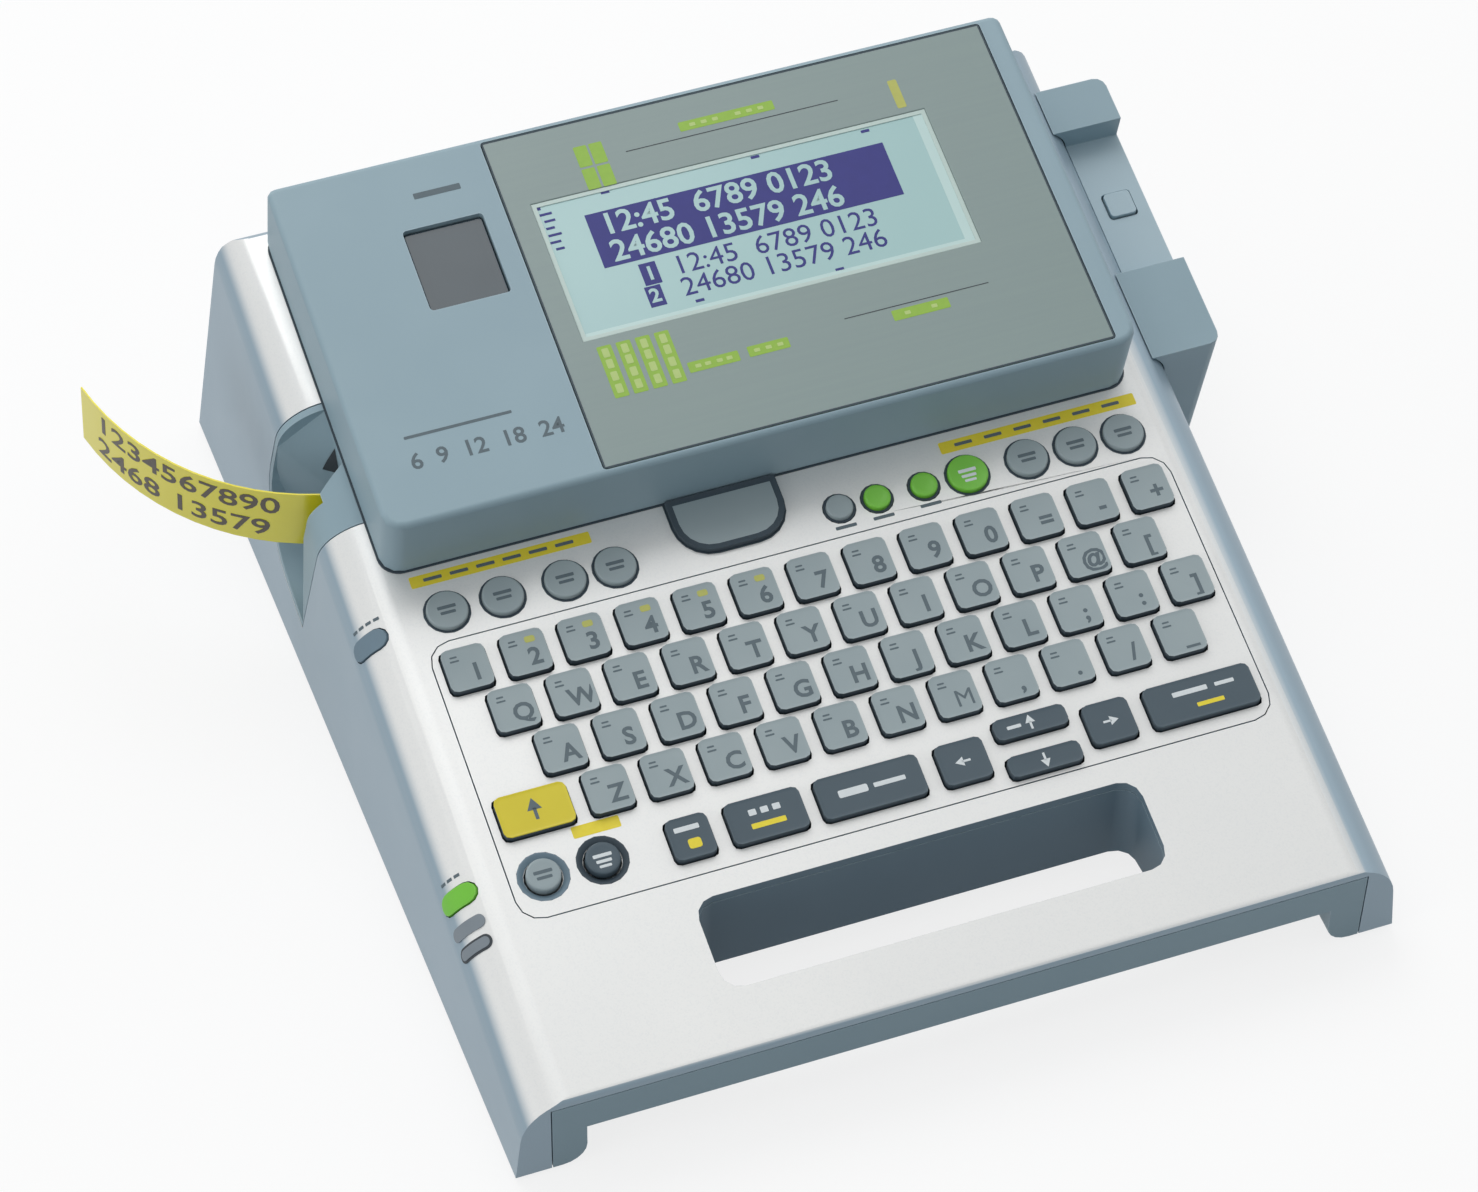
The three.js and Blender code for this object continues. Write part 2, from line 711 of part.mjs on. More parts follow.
function hingeLug(x) {
  const view = outline([
    [hingeY - hinge.lugRadius, -body.wall / 2],
    [hingeY + hinge.lugRadius, -body.wall / 2],
    [hingeY + hinge.lugRadius, hingeZ + hinge.lugRadius, hinge.lugRadius],
    [hingeY - hinge.lugRadius, hingeZ + hinge.lugRadius, hinge.lugRadius],
  ], 4);
  return spanning(view, x - hinge.lugWidth / 2, x + hinge.lugWidth / 2);
}

function pinBore(x) {
  const reach = hinge.lugWidth + hinge.ribWidth + overrun;
  return spanning(disc(hingeY, hingeZ, hinge.pinRadius + gap, hinge.pinSteps), x - reach, x + reach);
}

function hingePin(x) {
  const half = hinge.lugWidth / 2 + hinge.sideClearance + hinge.ribWidth;
  return spanning(disc(hingeY, hingeZ, hinge.pinRadius, hinge.pinSteps), x - half, x + half);
}

// Lower case
function archCutter(grow) {
  const half = bodyHalf - base.legWidth + grow;
  const depth = upDeck(base.archDepthShare);
  const ramp = Math.atan((base.archHeight - base.archRearHeight) / depth);
  const sloping = (points) => solid(running(points, -overrun, depth / Math.cos(ramp) + grow)
    .rotateX(-ramp)
    .translate(0, 0, base.archHeight));
  const section = outline([
    [-half, -tall], [half, -tall], [half, grow, base.archRadius], [-half, grow, base.archRadius],
  ]);
  // The inner bottom edges of the legs, rounded
  const round = base.legRadius - grow;
  const low = body.lift + grow;
  const flare = outline([
    [-wide, -tall], [wide, -tall], [wide, low], [half, low, round], [half, base.archHeight],
    [-half, base.archHeight], [-half, low, round], [-wide, low],
  ], 5);
  const under = outline([[-wide, -tall], [wide, -tall], [wide, grow], [-wide, grow]]);
  return sloping(section).add(
    solid(running(flare, -overrun, depth + grow)).intersect(sloping(under)));
}

function baseCase() {
  const nest = body.wall + gap;
  const hollow = nest + base.skin;
  const bandTop = body.frontHeight - nest / Math.cos(body.slope);
  const tongueEdge = returnEdge - gap;
  const tongue = block(-tongueEdge, tongueEdge, 0, hollow, body.lift, bandTop);
  const tunnelBack = grip + handleReach + base.skin;
  const aboveRim = block(-wide, wide, tunnelBack, body.depth + overrun, base.rim, tall);
  const outer = cut(bodyInside(nest, body.lift).add(solid(tongue)), solid(aboveRim));
  const tunnel = solid(rising(handleOpening(base.skin), -overrun, tall));
  const gripHalf = handleWidth / 2 + base.skin;
  const bar = solid(block(keyboard.shift - gripHalf, keyboard.shift + gripHalf, -overrun, grip,
    -overrun, tall));
  const cavity = cut(bodyInside(hollow, body.lift + base.floor), archCutter(base.skin), tunnel, bar);
  const underDoor = body.lift + gap + battery.doorThickness + gap;
  const recess = (spread, low, high) => solid(block(doorEdge.left - spread - gap,
    doorEdge.right + spread + gap, doorEdge.front - gap, doorEdge.back + battery.doorTravel + gap,
    low, high));
  const doorRecess = recess(0, -overrun, underDoor)
    .add(recess(battery.tongue, underDoor - gap - battery.tongueThickness - gap, underDoor));
  const packHole = rising(rectangle(batteryLeft - battery.fit, batteryFront - battery.fit,
    batteryRight + battery.fit, batteryBack + battery.fit, battery.radius), -overrun, base.rim);
  const hoodSide = battery.tongue + base.skin;
  const doorHood = block(doorEdge.left - hoodSide, doorEdge.right + hoodSide,
    doorEdge.front - base.skin, doorEdge.back + battery.doorTravel + base.skin,
    body.lift, underDoor + base.skin);
  const pockets = footPlaces.map(({ x, y }) => post(x, y, foot.radius + gap, -overrun,
    body.lift + foot.sunk, foot.steps));
  return cut(cut(outer, archCutter(0), cavity).add(solid(doorHood)),
    solid(rising(handleOpening(0), -overrun, tall)), doorRecess, solid(packHole),
    ...pockets.map(solid));
}

const doorEdge = {
  left: batteryLeft - battery.doorMargin,
  right: batteryRight + battery.doorMargin,
  front: batteryFront - battery.doorMargin,
  back: batteryBack + battery.doorMargin,
};
const footX = bodyHalf - foot.fromSide;
const footBack = body.depth - foot.fromBack;
const footPlaces = [
  { name: 'front_left_foot', x: -footX, y: foot.fromFront },
  { name: 'front_right_foot', x: footX, y: foot.fromFront },
  { name: 'back_left_foot', x: -footX, y: footBack },
  { name: 'back_right_foot', x: footX, y: footBack },
];

function batteryDoor() {
  const low = body.lift + gap;
  const high = low + battery.doorThickness;
  return join(
    block(doorEdge.left, doorEdge.right, doorEdge.front, doorEdge.back, low, high),
    block(doorEdge.left - battery.tongue, doorEdge.right + battery.tongue, doorEdge.front,
      doorEdge.back, high - battery.tongueThickness, high),
  );
}

function batteryPack() {
  const low = body.lift + gap + battery.doorThickness + gap;
  const bayCorner = new THREE.Vector3(0, bayFront, bay.floorLevel - bay.floor);
  const high = bayCorner.applyMatrix4(deckMatrix).z - battery.headroom;
  return solid(rising(rectangle(batteryLeft, batteryFront, batteryRight, batteryBack,
    battery.radius), low, high));
}

// Keyboard
function keyOutline(edge, grow) {
  return rectangle(edge.left - grow, edge.front - grow, edge.right + grow, edge.back + grow,
    key.radius, 2);
}

function characterEdge(row, index) {
  const x = across(row.firstShare + index);
  const y = characterRowAt(row.upShare);
  const halfWidth = (key.widthShare * keyPitch) / 2;
  const halfDepth = (key.depthShare * rowPitch) / 2;
  return { left: x - halfWidth, right: x + halfWidth, front: y - halfDepth, back: y + halfDepth };
}

function commandEdge({ leftShare, rightShare, upShare, depthShare }) {
  const y = commandRowAt(upShare);
  const halfDepth = (depthShare * rowPitch) / 2;
  return { left: across(leftShare), right: across(rightShare), front: y - halfDepth, back: y + halfDepth };
}

const characterEdges = characterRows.map(
  (row) => Array.from({ length: row.count }, (_, index) => characterEdge(row, index)));
const commandEdges = commandKeys.map(commandEdge);

function keyboardPanel() {
  const plate = join(
    rising(panelOutline(-gap), panelUnder, 0),
    rising(panelOutline(keyboard.flange), panelUnder, underDeck),
    rising(panelOutline(keyboard.flange), matUnder, panelUnder + gap),
  );
  const caps = [...characterEdges.flat(), ...commandEdges].map(
    (edge) => rising(keyOutline(edge, key.clearance), panelUnder - overrun, overrun));
  const rings = ringButtons.flatMap(({ atShare }) => [
    post(across(atShare), ringRow, roundButton.ringRadiusShare * keyPitch + roundButton.clearance,
      panelUnder - overrun, overrun, roundButton.steps),
    post(across(atShare), ringRow, roundButton.dishRadiusShare * keyPitch, -roundButton.dishDepth,
      overrun, roundButton.steps),
  ]);
  const flanges = roundButtons.map(({ atShare, size }) => post(across(atShare), roundRow,
    (roundButton[size] + roundButton.flangeShare) * keyPitch + gap,
    underDeck - roundButton.flangeThickness - roundButton.travel - gap, -body.wall / 2,
    roundButton.steps));
  const inside = rising(panelOutline(keyboard.flange - keyboard.rimWall), matUnder - overrun, panelUnder);
  return cut(plate, ...[inside, ...caps, ...rings, ...flanges].map(solid));
}

function keyRowSolid(edges) {
  const web = {
    left: edges[0].left,
    right: edges[edges.length - 1].right,
    front: edges[0].front,
    back: edges[0].back,
  };
  return join(
    rising(keyOutline(web, key.webMarginShare * rowPitch), webUnder, webTop),
    ...edges.map((edge) => rising(keyOutline(edge, 0), webUnder, key.rise)),
  );
}

function roundCap(x, y, radius, top, flangeTop, steps) {
  const flangeUnder = flangeTop - roundButton.flangeThickness;
  return join(
    post(x, y, radius, flangeUnder, top, steps),
    post(x, y, radius + roundButton.flangeShare * keyPitch, flangeUnder, flangeTop, steps),
  );
}

function keyMat() {
  const inset = keyboard.flange - keyboard.rimWall - gap;
  return solid(rising(panelOutline(inset), matUnder, matTop));
}

function mainBoard() {
  return solid(rising(panelOutline(keyboard.flange), boardTop - keyboard.boardThickness, boardTop));
}

function releaseCap() {
  const flangeUnder = underDeck - releaseButton.flangeThickness;
  return join(
    rising(releaseOutline(0), flangeUnder, releaseButton.rise),
    rising(releaseOutline(releaseButton.flange), flangeUnder, underDeck),
  );
}

function pillCap(at) {
  const underShell = body.shoulderRadius - body.wall - gap;
  const flange = pillSolid(at, shoulderPill.flange, underShell - shoulderPill.flangeThickness, underShell);
  const cap = pillSolid(at, 0, underShell - shoulderPill.flangeThickness,
    body.shoulderRadius + shoulderPill.rise);
  return cap.add(flange);
}

// Cover with the display
function coverOutline(inset) {
  const round = cover.radius - inset;
  const backRound = Math.max(cover.backRadius - inset, 0);
  return outline([
    [coverLeft + inset, coverFront + inset, round],
    [coverRight - inset, coverFront + inset, round],
    [coverRight - inset, coverBack - inset, backRound],
    [coverLeft + inset, coverBack - inset, backRound],
  ]);
}

const windowOutline = (grow) => rectangle(pane.left - grow, pane.front - grow,
  pane.left + pane.width + grow, pane.front + pane.depth + grow, tapeWindow.radius);
const glassOutline = (grow) => rectangle(glass.left - grow, glass.front - grow,
  glass.left + glass.width + grow, glass.front + glass.depth + grow);
const displayOutline = (grow) => rectangle(
  displayLeft - grow, coverFront + display.frontMargin - grow, displayLeft + displayWidth + grow,
  coverBack - display.backMargin + grow, display.radius);

function coverShell() {
  const edge = cover.edgeRadius;
  const hull = new THREE.ExtrudeGeometry(new THREE.Shape(coverOutline(0)), {
    depth: cover.height,
    bevelThickness: edge,
    bevelSize: edge,
    bevelOffset: -edge,
    bevelSegments: 3,
  }).translate(0, 0, cover.underGap - edge);
  const sideView = outline([
    [coverFront - overrun, cover.underGap],
    [coverBack, cover.underGap, cover.hingeRadius],
    [coverBack, coverTop + overrun],
    [coverFront - overrun, coverTop + overrun],
  ], 6);
  const room = rising(coverOutline(cover.wall), -overrun, coverTop - cover.top);
  const ribs = hingePlaces.flatMap((x) => [-1, 1].map((hand) => {
    const inner = x + hand * (hinge.lugWidth / 2 + hinge.sideClearance);
    const outer = inner + hand * hinge.ribWidth;
    return block(Math.min(inner, outer), Math.max(inner, outer), hingeY - hinge.ribReach,
      coverBack - cover.wall / 2, cover.underGap, coverTop - cover.top / 2);
  }));
  const notches = hingePlaces.map((x) => {
    const half = hinge.lugWidth / 2 + hinge.sideClearance;
    return block(x - half, x + half, hingeY - hinge.ribReach, coverBack + overrun, -overrun,
      hingeZ + cover.notchAbove);
  });
  const hook = join(
    block(hookAt.left, hookAt.right, hookAt.front, hookAt.back, -cover.hookDrop, hingeZ),
    block(hookAt.left, hookAt.right, coverFront + cover.wall / 2, hookAt.back, cover.underGap,
      coverTop - cover.top / 2),
  );
  const shell = cut(solid(hull), solid(room));
  const ribbed = ribs.reduce((whole, rib) => whole.add(solid(rib)), shell)
    .intersect(solid(spanning(sideView, -wide, wide)));
  return cut(
    ribbed.add(hook),
    ...notches.map(solid),
    ...hingePlaces.map((x) => solid(pinBore(x))),
    solid(rising(displayOutline(gap), coverTop - display.thickness - gap, coverTop + overrun)),
    solid(rising(glassOutline(gap), coverTop - cover.top - overrun, coverTop + overrun)),
    solid(rising(windowOutline(gap), coverTop - cover.top - overrun, coverTop + overrun)),
  );
}

function displayPanel() {
  const plate = rising(displayOutline(0), coverTop - display.thickness, coverTop);
  const hole = rising(glassOutline(gap), coverTop - display.thickness - overrun, coverTop + overrun);
  return cut(solid(plate), solid(hole));
}

function lcdModule() {
  const top = coverTop - cover.top - gap;
  return join(
    rising(glassOutline(display.moduleMargin), top - display.moduleThickness, top),
    rising(glassOutline(0), top - display.moduleThickness, coverTop - display.sunk),
  );
}

function windowPane() {
  const top = coverTop - cover.top - gap;
  return join(
    rising(windowOutline(tapeWindow.flange), top - tapeWindow.flangeThickness, top),
    rising(windowOutline(0), top - tapeWindow.flangeThickness, coverTop - tapeWindow.sunk),
  );
}

// Cassette, tape and drive, in the deck frame
const spoolRadius = cassette.spoolShare * cassetteMean;
const ribbonRadius = cassette.ribbonShare * cassetteMean;
const spoolPlaces = {
  tape: {
    x: cassetteRight - cassette.wall - cassette.spoolGap - spoolRadius,
    y: (cassetteFront + cassetteBack) / 2,
    radius: spoolRadius,
  },
  ribbon: {
    x: cassetteLeft + cassette.wall + cassette.spoolGap + ribbonRadius,
    y: cassetteBack - cassette.wall - cassette.spoolGap - ribbonRadius,
    radius: ribbonRadius,
  },
};
const cassetteUnder = bay.floorLevel + gap;
const tapeUnder = tape.top - tape.width;
const platenY = tapePath + tape.thickness / 2 + gap + platen.radius;
const gearTop = bay.floorLevel - bay.floor - 1.5 * gap;
const gearRadius = (drive.module * drive.gearTeeth) / 2;
const pinionRadius = (drive.module * drive.pinionTeeth) / 2;
const motorY = platenY + gearRadius + pinionRadius + drive.backlash;
const motorTop = gearTop - drive.width - gap - gap;

function cassetteBay() {
  const underFloor = bay.floorLevel - bay.floor;
  const tray = block(bayLeft, bayRight, bayFront, bayBack, underFloor, underDeck);
  const room = block(bayLeft + bay.wall, bayRight - bay.wall, bayFront + bay.wall,
    bayBack - bay.wall, bay.floorLevel, overrun);
  const hubs = Object.values(spoolPlaces).map(({ x, y }) => post(x, y, bay.postRadius, underFloor,
    bay.postLevel, 12));
  const motorPosts = [-1, 1].map((hand) => post(platenX + hand * drive.postSpread,
    motorY + drive.postBack, drive.postRadius, motorTop + gap, underFloor + bay.floor / 2, 8));
  const tapeSlot = block(bayLeft - overrun, bayLeft + bay.wall + gap, tapePath - exit.slotAhead,
    tapePath + exit.slotBehind, tapeUnder - exit.slotMargin, overrun);
  const shaftHole = post(platenX, platenY, platen.shaftRadius + gap, underFloor - overrun, 0, 12);
  const shell = cut(solid(tray), solid(room));
  return cut([...hubs, ...motorPosts].reduce((whole, each) => whole.add(solid(each)), shell),
    solid(tapeSlot), solid(shaftHole));
}

function tapeCassette() {
  const shell = solid(rising(rectangle(cassetteLeft, cassetteFront, cassetteRight, cassetteBack,
    cassette.radius), cassetteUnder, cassette.top));
  const pockets = Object.values(spoolPlaces).map(({ x, y, radius }) => post(x, y,
    radius + cassette.spoolGap, cassetteUnder - overrun, cassette.top - cassette.wall, 32));
  return cut(shell, ...pockets.map(solid));
}

function spool({ x, y, radius }) {
  const top = tape.top;
  const low = bay.floorLevel + gap;
  const hub = bay.postRadius + gap;
  return cut(
    join(
      post(x, y, radius, tapeUnder, top, 32),
      post(x, y, hub + cassette.hubWall, low, top, 16),
    ),
    solid(post(x, y, hub, low - overrun, top + overrun, 16)),
  );
}

function platenRoller() {
  return join(
    post(platenX, platenY, platen.radius, tapeUnder - platen.margin, tape.top + platen.margin,
      platen.steps),
    post(platenX, platenY, platen.shaftRadius, gearTop - drive.width - gap, tapeUnder, 12),
  );
}

function gearOutline(x, y, teeth, turn) {
  const pitch = (2 * Math.PI) / teeth;
  const radius = (drive.module * teeth) / 2;
  const root = radius - toothShares.dedendum * drive.module;
  const tip = radius + toothShares.addendum * drive.module;
  const tooth = [[root, -toothShares.root], [tip, -toothShares.tip], [tip, toothShares.tip],
    [root, toothShares.root]];
  return Array.from({ length: teeth }, (_, k) => tooth.map(([reach, offset]) => {
    const angle = turn + (k + offset) * pitch;
    return new THREE.Vector2(x + reach * Math.cos(angle), y + reach * Math.sin(angle));
  })).flat();
}

function gear(y, teeth, turn, bore) {
  const low = gearTop - drive.width;
  return cut(
    solid(rising(gearOutline(platenX, y, teeth, turn), low, gearTop)),
    solid(post(platenX, y, bore, low - overrun, gearTop + overrun, 12)),
  );
}

function feedMotor() {
  return join(
    post(platenX, motorY, drive.motorRadius, motorTop - upDeck(drive.motorShare), motorTop, 24),
    post(platenX, motorY, drive.shaftRadius, motorTop - upDeck(drive.motorShare), gearTop - gap, 10),
  );
}

function printHead() {
  const back = tapePath - tape.thickness / 2 - gap;
  const middle = bayLeft + head.fromBay;
  return solid(block(middle - head.width / 2, middle + head.width / 2, back - head.depth, back,
    bay.floorLevel + gap, head.top));
}

function cutterBlade() {
  const right = bayLeft - gap;
  const front = tapePath + cutter.restAhead;
  return solid(block(right - cutter.thickness, right, front, front + cutter.depth,
    tapeUnder - cutter.margin, tape.top + cutter.margin));
}

function printedTape() {
  const start = cassetteLeft - gap;
  const bend = bayLeft + tape.bendMargin;
  const half = tape.thickness / 2;
  const centreY = tapePath + tape.curlRadius;
  const curl = (radius) => Array.from({ length: tape.steps + 1 }, (_, k) => {
    const angle = (tape.curl * k) / tape.steps;
    return new THREE.Vector2(
      bend - radius * Math.sin(angle), centreY - radius * Math.cos(angle));
  });
  return solid(rising([
    new THREE.Vector2(start, tapePath + half),
    ...curl(tape.curlRadius - half),
    ...curl(tape.curlRadius + half).reverse(),
    new THREE.Vector2(start, tapePath - half),
  ], tapeUnder, tape.top));
}

function exitBezel() {
  const tunnel = (inner, outer, behind) => solid(block(outer, inner, tapePath - exit.slotAhead,
    tapePath + behind, tapeUnder - exit.slotMargin, tape.top + exit.slotMargin));
  return cut(
    exitPocket(0).intersect(atDeck(bodyOutside())),
    exitRecess(0),
    exitScoop(),
    tunnel(exitInner + exit.liner + overrun, exitInner - overrun, exit.slotBehind),
    tunnel(exitInner, -wide, exit.tunnelBehind),
  );
}

// Housing on the right side wall
const sideRight = bodyHalf + side.reach;
const sideFront = upDeck(side.frontShare);
const sideBack = upDeck(side.backShare);
const trimmerX = bodyHalf + side.buttonReach;
const trimmerY = upDeck(side.buttonShare);

function trimmerOutline(grow) {
  const half = side.buttonSize / 2 + grow;
  return rectangle(trimmerX - half, trimmerY - half, trimmerX + half, trimmerY + half,
    side.buttonRadius);
}

function sideHousing() {
  const hull = rising(outline([[0, sideFront], [sideRight, sideFront, side.radius],
    [sideRight, sideBack, side.radius], [0, sideBack]]), -tall, side.top);
  const inner = block(0, sideRight - side.wall, sideFront + side.wall, sideBack - side.wall,
    -tall, side.shelf - side.wall);
  const above = (z) => atDeck(solid(block(-wide, wide, -overrun, body.depth + overrun, z, tall + tall)));
  const shelf = block(0, sideRight + overrun, upDeck(side.shelfFrontShare),
    upDeck(side.shelfBackShare), side.shelf, overrun);
  const buttonHole = rising(trimmerOutline(side.buttonClearance), side.shelf - side.wall - overrun,
    overrun);
  return cut(
    solid(hull).intersect(above(side.lift)),
    atDeck(bodyLength(-gap)),
    solid(inner).intersect(above(side.lift + side.wall)),
    solid(shelf),
    solid(buttonHole),
  );
}

function trimmerButton() {
  const underShelf = side.shelf - side.wall - gap;
  const flangeUnder = underShelf - roundButton.flangeThickness;
  return join(
    rising(trimmerOutline(0), flangeUnder, side.shelf + side.buttonRise),
    rising(trimmerOutline(side.buttonFlange), flangeUnder, underShelf),
  );
}

// Assembly
addPiece(printer, 'base_case', baseCase(), 'blueGrey');
addPiece(printer, 'top_case', topCase(), 'silver');
addPiece(printer, 'battery_door', batteryDoor(), 'blueGrey');
addPiece(printer, 'battery_pack', batteryPack(), 'cell');
footPlaces.forEach(({ name, x, y }) => addPiece(printer, name,
  solid(post(x, y, foot.radius, 0, foot.height, foot.steps)), 'rubber'));

addPiece(deck, 'keyboard_panel', keyboardPanel(), 'silver');
addPiece(deck, 'key_mat', keyMat(), 'rubber');
addPiece(deck, 'main_board', mainBoard(), 'board');
characterRows.forEach((row, i) => addPiece(deck, row.name, keyRowSolid(characterEdges[i]), 'greyKey'));
commandKeys.forEach(({ name }, i) => addPiece(deck, name, keyRowSolid([commandEdges[i]]),
  name === 'shift_key' ? 'yellowKey' : 'darkKey'));
roundButtons.forEach(({ name, atShare, size, finish }) => addPiece(deck, name,
  roundCap(across(atShare), roundRow, roundButton[size] * keyPitch, roundButton.rise, underDeck,
    roundButton.steps), finish));
ringButtons.forEach(({ name, atShare, finish }) => addPiece(deck, name,
  roundCap(across(atShare), ringRow, roundButton.ringRadiusShare * keyPitch, roundButton.rise,
    webTop, roundButton.steps), finish));
addPiece(deck, 'release_button', releaseCap(), 'blueGrey');
addPiece(deck, 'power_button', pillCap(upDeck(shoulderPill.powerShare)), 'greenKey');
addPiece(deck, 'cut_button', pillCap(upDeck(shoulderPill.cutShare)), 'darkBlueGrey');

addPiece(deck, 'cover_shell', coverShell(), 'blueGrey');
addPiece(deck, 'display_panel', displayPanel(), 'panel');
addPiece(deck, 'lcd_module', lcdModule(), 'lcd');
addPiece(deck, 'tape_window', windowPane(), 'smoked');
addPiece(deck, 'hinge_pin_left', solid(hingePin(hingePlaces[0])), 'steel');
addPiece(deck, 'hinge_pin_right', solid(hingePin(hingePlaces[1])), 'steel');

addPiece(deck, 'cassette_bay', cassetteBay(), 'darkBlueGrey');
addPiece(deck, 'tape_cassette', tapeCassette(), 'clearGrey');
addPiece(deck, 'tape_spool', spool(spoolPlaces.tape), 'tape');
addPiece(deck, 'ribbon_spool', spool(spoolPlaces.ribbon), 'cell');
addPiece(deck, 'print_head', printHead(), 'steel');
addPiece(deck, 'platen_roller', platenRoller(), 'rubber');
addPiece(deck, 'platen_gear', gear(platenY, drive.gearTeeth, Math.PI / 2, platen.shaftRadius + gap),
  'clearGrey');
addPiece(deck, 'motor_pinion', gear(motorY, drive.pinionTeeth, Math.PI / 2 + Math.PI / drive.pinionTeeth,
  drive.shaftRadius + gap), 'clearGrey');
addPiece(deck, 'feed_motor', feedMotor(), 'steel');
addPiece(deck, 'cutter_blade', cutterBlade(), 'steel');
addPiece(deck, 'tape_exit_bezel', exitBezel(), 'blueGrey');
addPiece(deck, 'printed_tape', printedTape(), 'tape');

addPiece(deck, 'side_housing', sideHousing(), 'blueGrey');
addPiece(deck, 'trimmer_button', trimmerButton(), 'blueGrey');

// Origin: under the middle of the whole part, at desk level
const box = new THREE.Box3().setFromObject(printer, true);
const middle = box.getCenter(new THREE.Vector3());
printer.position.set(-middle.x, -middle.y, -box.min.z);

export default printer;
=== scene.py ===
import math

import bpy
from mathutils import Matrix, Vector


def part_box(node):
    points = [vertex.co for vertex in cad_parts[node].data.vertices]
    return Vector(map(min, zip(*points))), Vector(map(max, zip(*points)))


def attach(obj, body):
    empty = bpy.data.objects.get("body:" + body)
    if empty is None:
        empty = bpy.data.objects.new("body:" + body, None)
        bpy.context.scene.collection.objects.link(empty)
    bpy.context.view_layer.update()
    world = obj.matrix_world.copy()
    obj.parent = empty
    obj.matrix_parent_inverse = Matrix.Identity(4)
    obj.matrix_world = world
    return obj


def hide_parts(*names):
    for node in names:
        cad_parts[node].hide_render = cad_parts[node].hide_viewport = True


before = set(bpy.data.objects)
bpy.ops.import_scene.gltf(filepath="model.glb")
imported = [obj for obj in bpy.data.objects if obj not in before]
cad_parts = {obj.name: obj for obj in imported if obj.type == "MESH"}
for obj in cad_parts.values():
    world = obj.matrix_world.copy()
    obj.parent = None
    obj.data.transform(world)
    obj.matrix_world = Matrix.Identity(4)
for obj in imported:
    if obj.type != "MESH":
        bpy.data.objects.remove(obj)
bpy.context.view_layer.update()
mm = 0.001
print("frame loaded:", len(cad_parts), "solids")

# The deck slopes up from the front of the upper case. Flat pieces are shaped with the deck lying
# level, and then turned onto it: x to the right, y up the slope, z out of the deck.
caseLow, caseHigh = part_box("top_case")
deck = {
    "middle": (caseLow.x + caseHigh.x) / 2,
    "front": caseLow.y,
    "height": 26.6 * mm,
    "slope": math.radians(11.7),
    "keysShift": 1.3,  # the keys sit right of the middle, mm
    "keyPitch": 14.6,
}
deskTurn = Matrix.Translation((deck["middle"], deck["front"], 0))
deckTurn = (
    deskTurn
    @ Matrix.Translation((0, 0, deck["height"]))
    @ Matrix.Rotation(deck["slope"], 4, "X")
)
deckBack = deckTurn.inverted()


def keyX(share):  # place of a key across the deck, mm
    return deck["keysShift"] + share * deck["keyPitch"]


# Camera and light

camera = {
    "place": (-0.2901, -0.6109, 0.9718), "lens": 121.43, "sensor": 36,
    "axes": (
        (0.94123554, 0.25024364, -0.22683427),
        (-0.33744481, 0.72532636, -0.60002723),
        (0.01437588, 0.641311, 0.76714636),
    ),
}
bpy.ops.object.camera_add()
cameraObject = bpy.context.object
cameraObject.name = "photoCamera"
cameraObject.data.lens = camera["lens"]
cameraObject.data.sensor_width = camera["sensor"]
cameraPlace = Vector((deck["middle"], deck["front"], 0)) + Vector(camera["place"])
cameraObject.matrix_world = Matrix.Translation(cameraPlace) @ Matrix(camera["axes"]).to_4x4()
bpy.context.scene.camera = cameraObject
bpy.context.scene.view_settings.view_transform = "Standard"

lampsAim = (0, 0, 0.05)
lamps = {  # place, size, watts
    "top": ((-0.1, 0.95, 1.45), 1.4, 11),
    "left": ((-1.3, -0.35, 0.35), 0.8, 3.5),
    "right": ((1.3, 0.5, 0.9), 1.2, 2),
}
for lampName, (place, size, watts) in lamps.items():
    bpy.ops.object.light_add(type="AREA", location=place)
    lamp = bpy.context.object
    lamp.name = lampName + "Lamp"
    lamp.data.shape = "DISK"
    lamp.data.size = size
    lamp.data.energy = watts
    aim = Vector(lampsAim) - Vector(place)
    lamp.rotation_euler = aim.to_track_quat("-Z", "Y").to_euler()


# Shader building


def paint(red, green, blue):  # a screen colour, 0 to 255, as the shader wants it
    def linear(value):
        value = value / 255
        return value / 12.92 if value <= 0.04045 else ((value + 0.055) / 1.055) ** 2.4

    return (linear(red), linear(green), linear(blue), 1)


def setSockets(tree, node, sockets):  # a socket is linked, anything else is a plain value
    for name, value in sockets.items():
        if isinstance(value, bpy.types.NodeSocket):
            tree.links.new(value, node.inputs[name])
        else:
            node.inputs[name].default_value = value


def addNode(tree, kind, sockets=None, **settings):
    node = tree.nodes.new(kind)
    for name, value in settings.items():
        setattr(node, name, value)
    setSockets(tree, node, sockets or {})
    return node


def mixColours(tree, amount, first, second):
    node = addNode(tree, "ShaderNodeMix", {0: amount, 6: first, 7: second}, data_type="RGBA")
    return node.outputs[2]


def calculate(tree, operation, *values, **settings):
    sockets = dict(enumerate(values))
    return addNode(
        tree, "ShaderNodeMath", sockets, operation=operation, **settings
    ).outputs["Value"]


def dotProduct(tree, first, second):
    return addNode(
        tree, "ShaderNodeVectorMath", {0: first, 1: second}, operation="DOT_PRODUCT"
    ).outputs["Value"]


def mapRange(tree, value, low, high, least=0, most=1, **settings):
    sockets = {"Value": value, "From Min": low, "From Max": high, "To Min": least, "To Max": most}
    return addNode(tree, "ShaderNodeMapRange", sockets, **settings).outputs["Result"]


def addNoise(tree, place, scale, detail=2, distortion=0):
    sockets = {"Vector": place, "Scale": scale, "Detail": detail, "Distortion": distortion}
    return addNode(tree, "ShaderNodeTexNoise", sockets).outputs["Fac"]


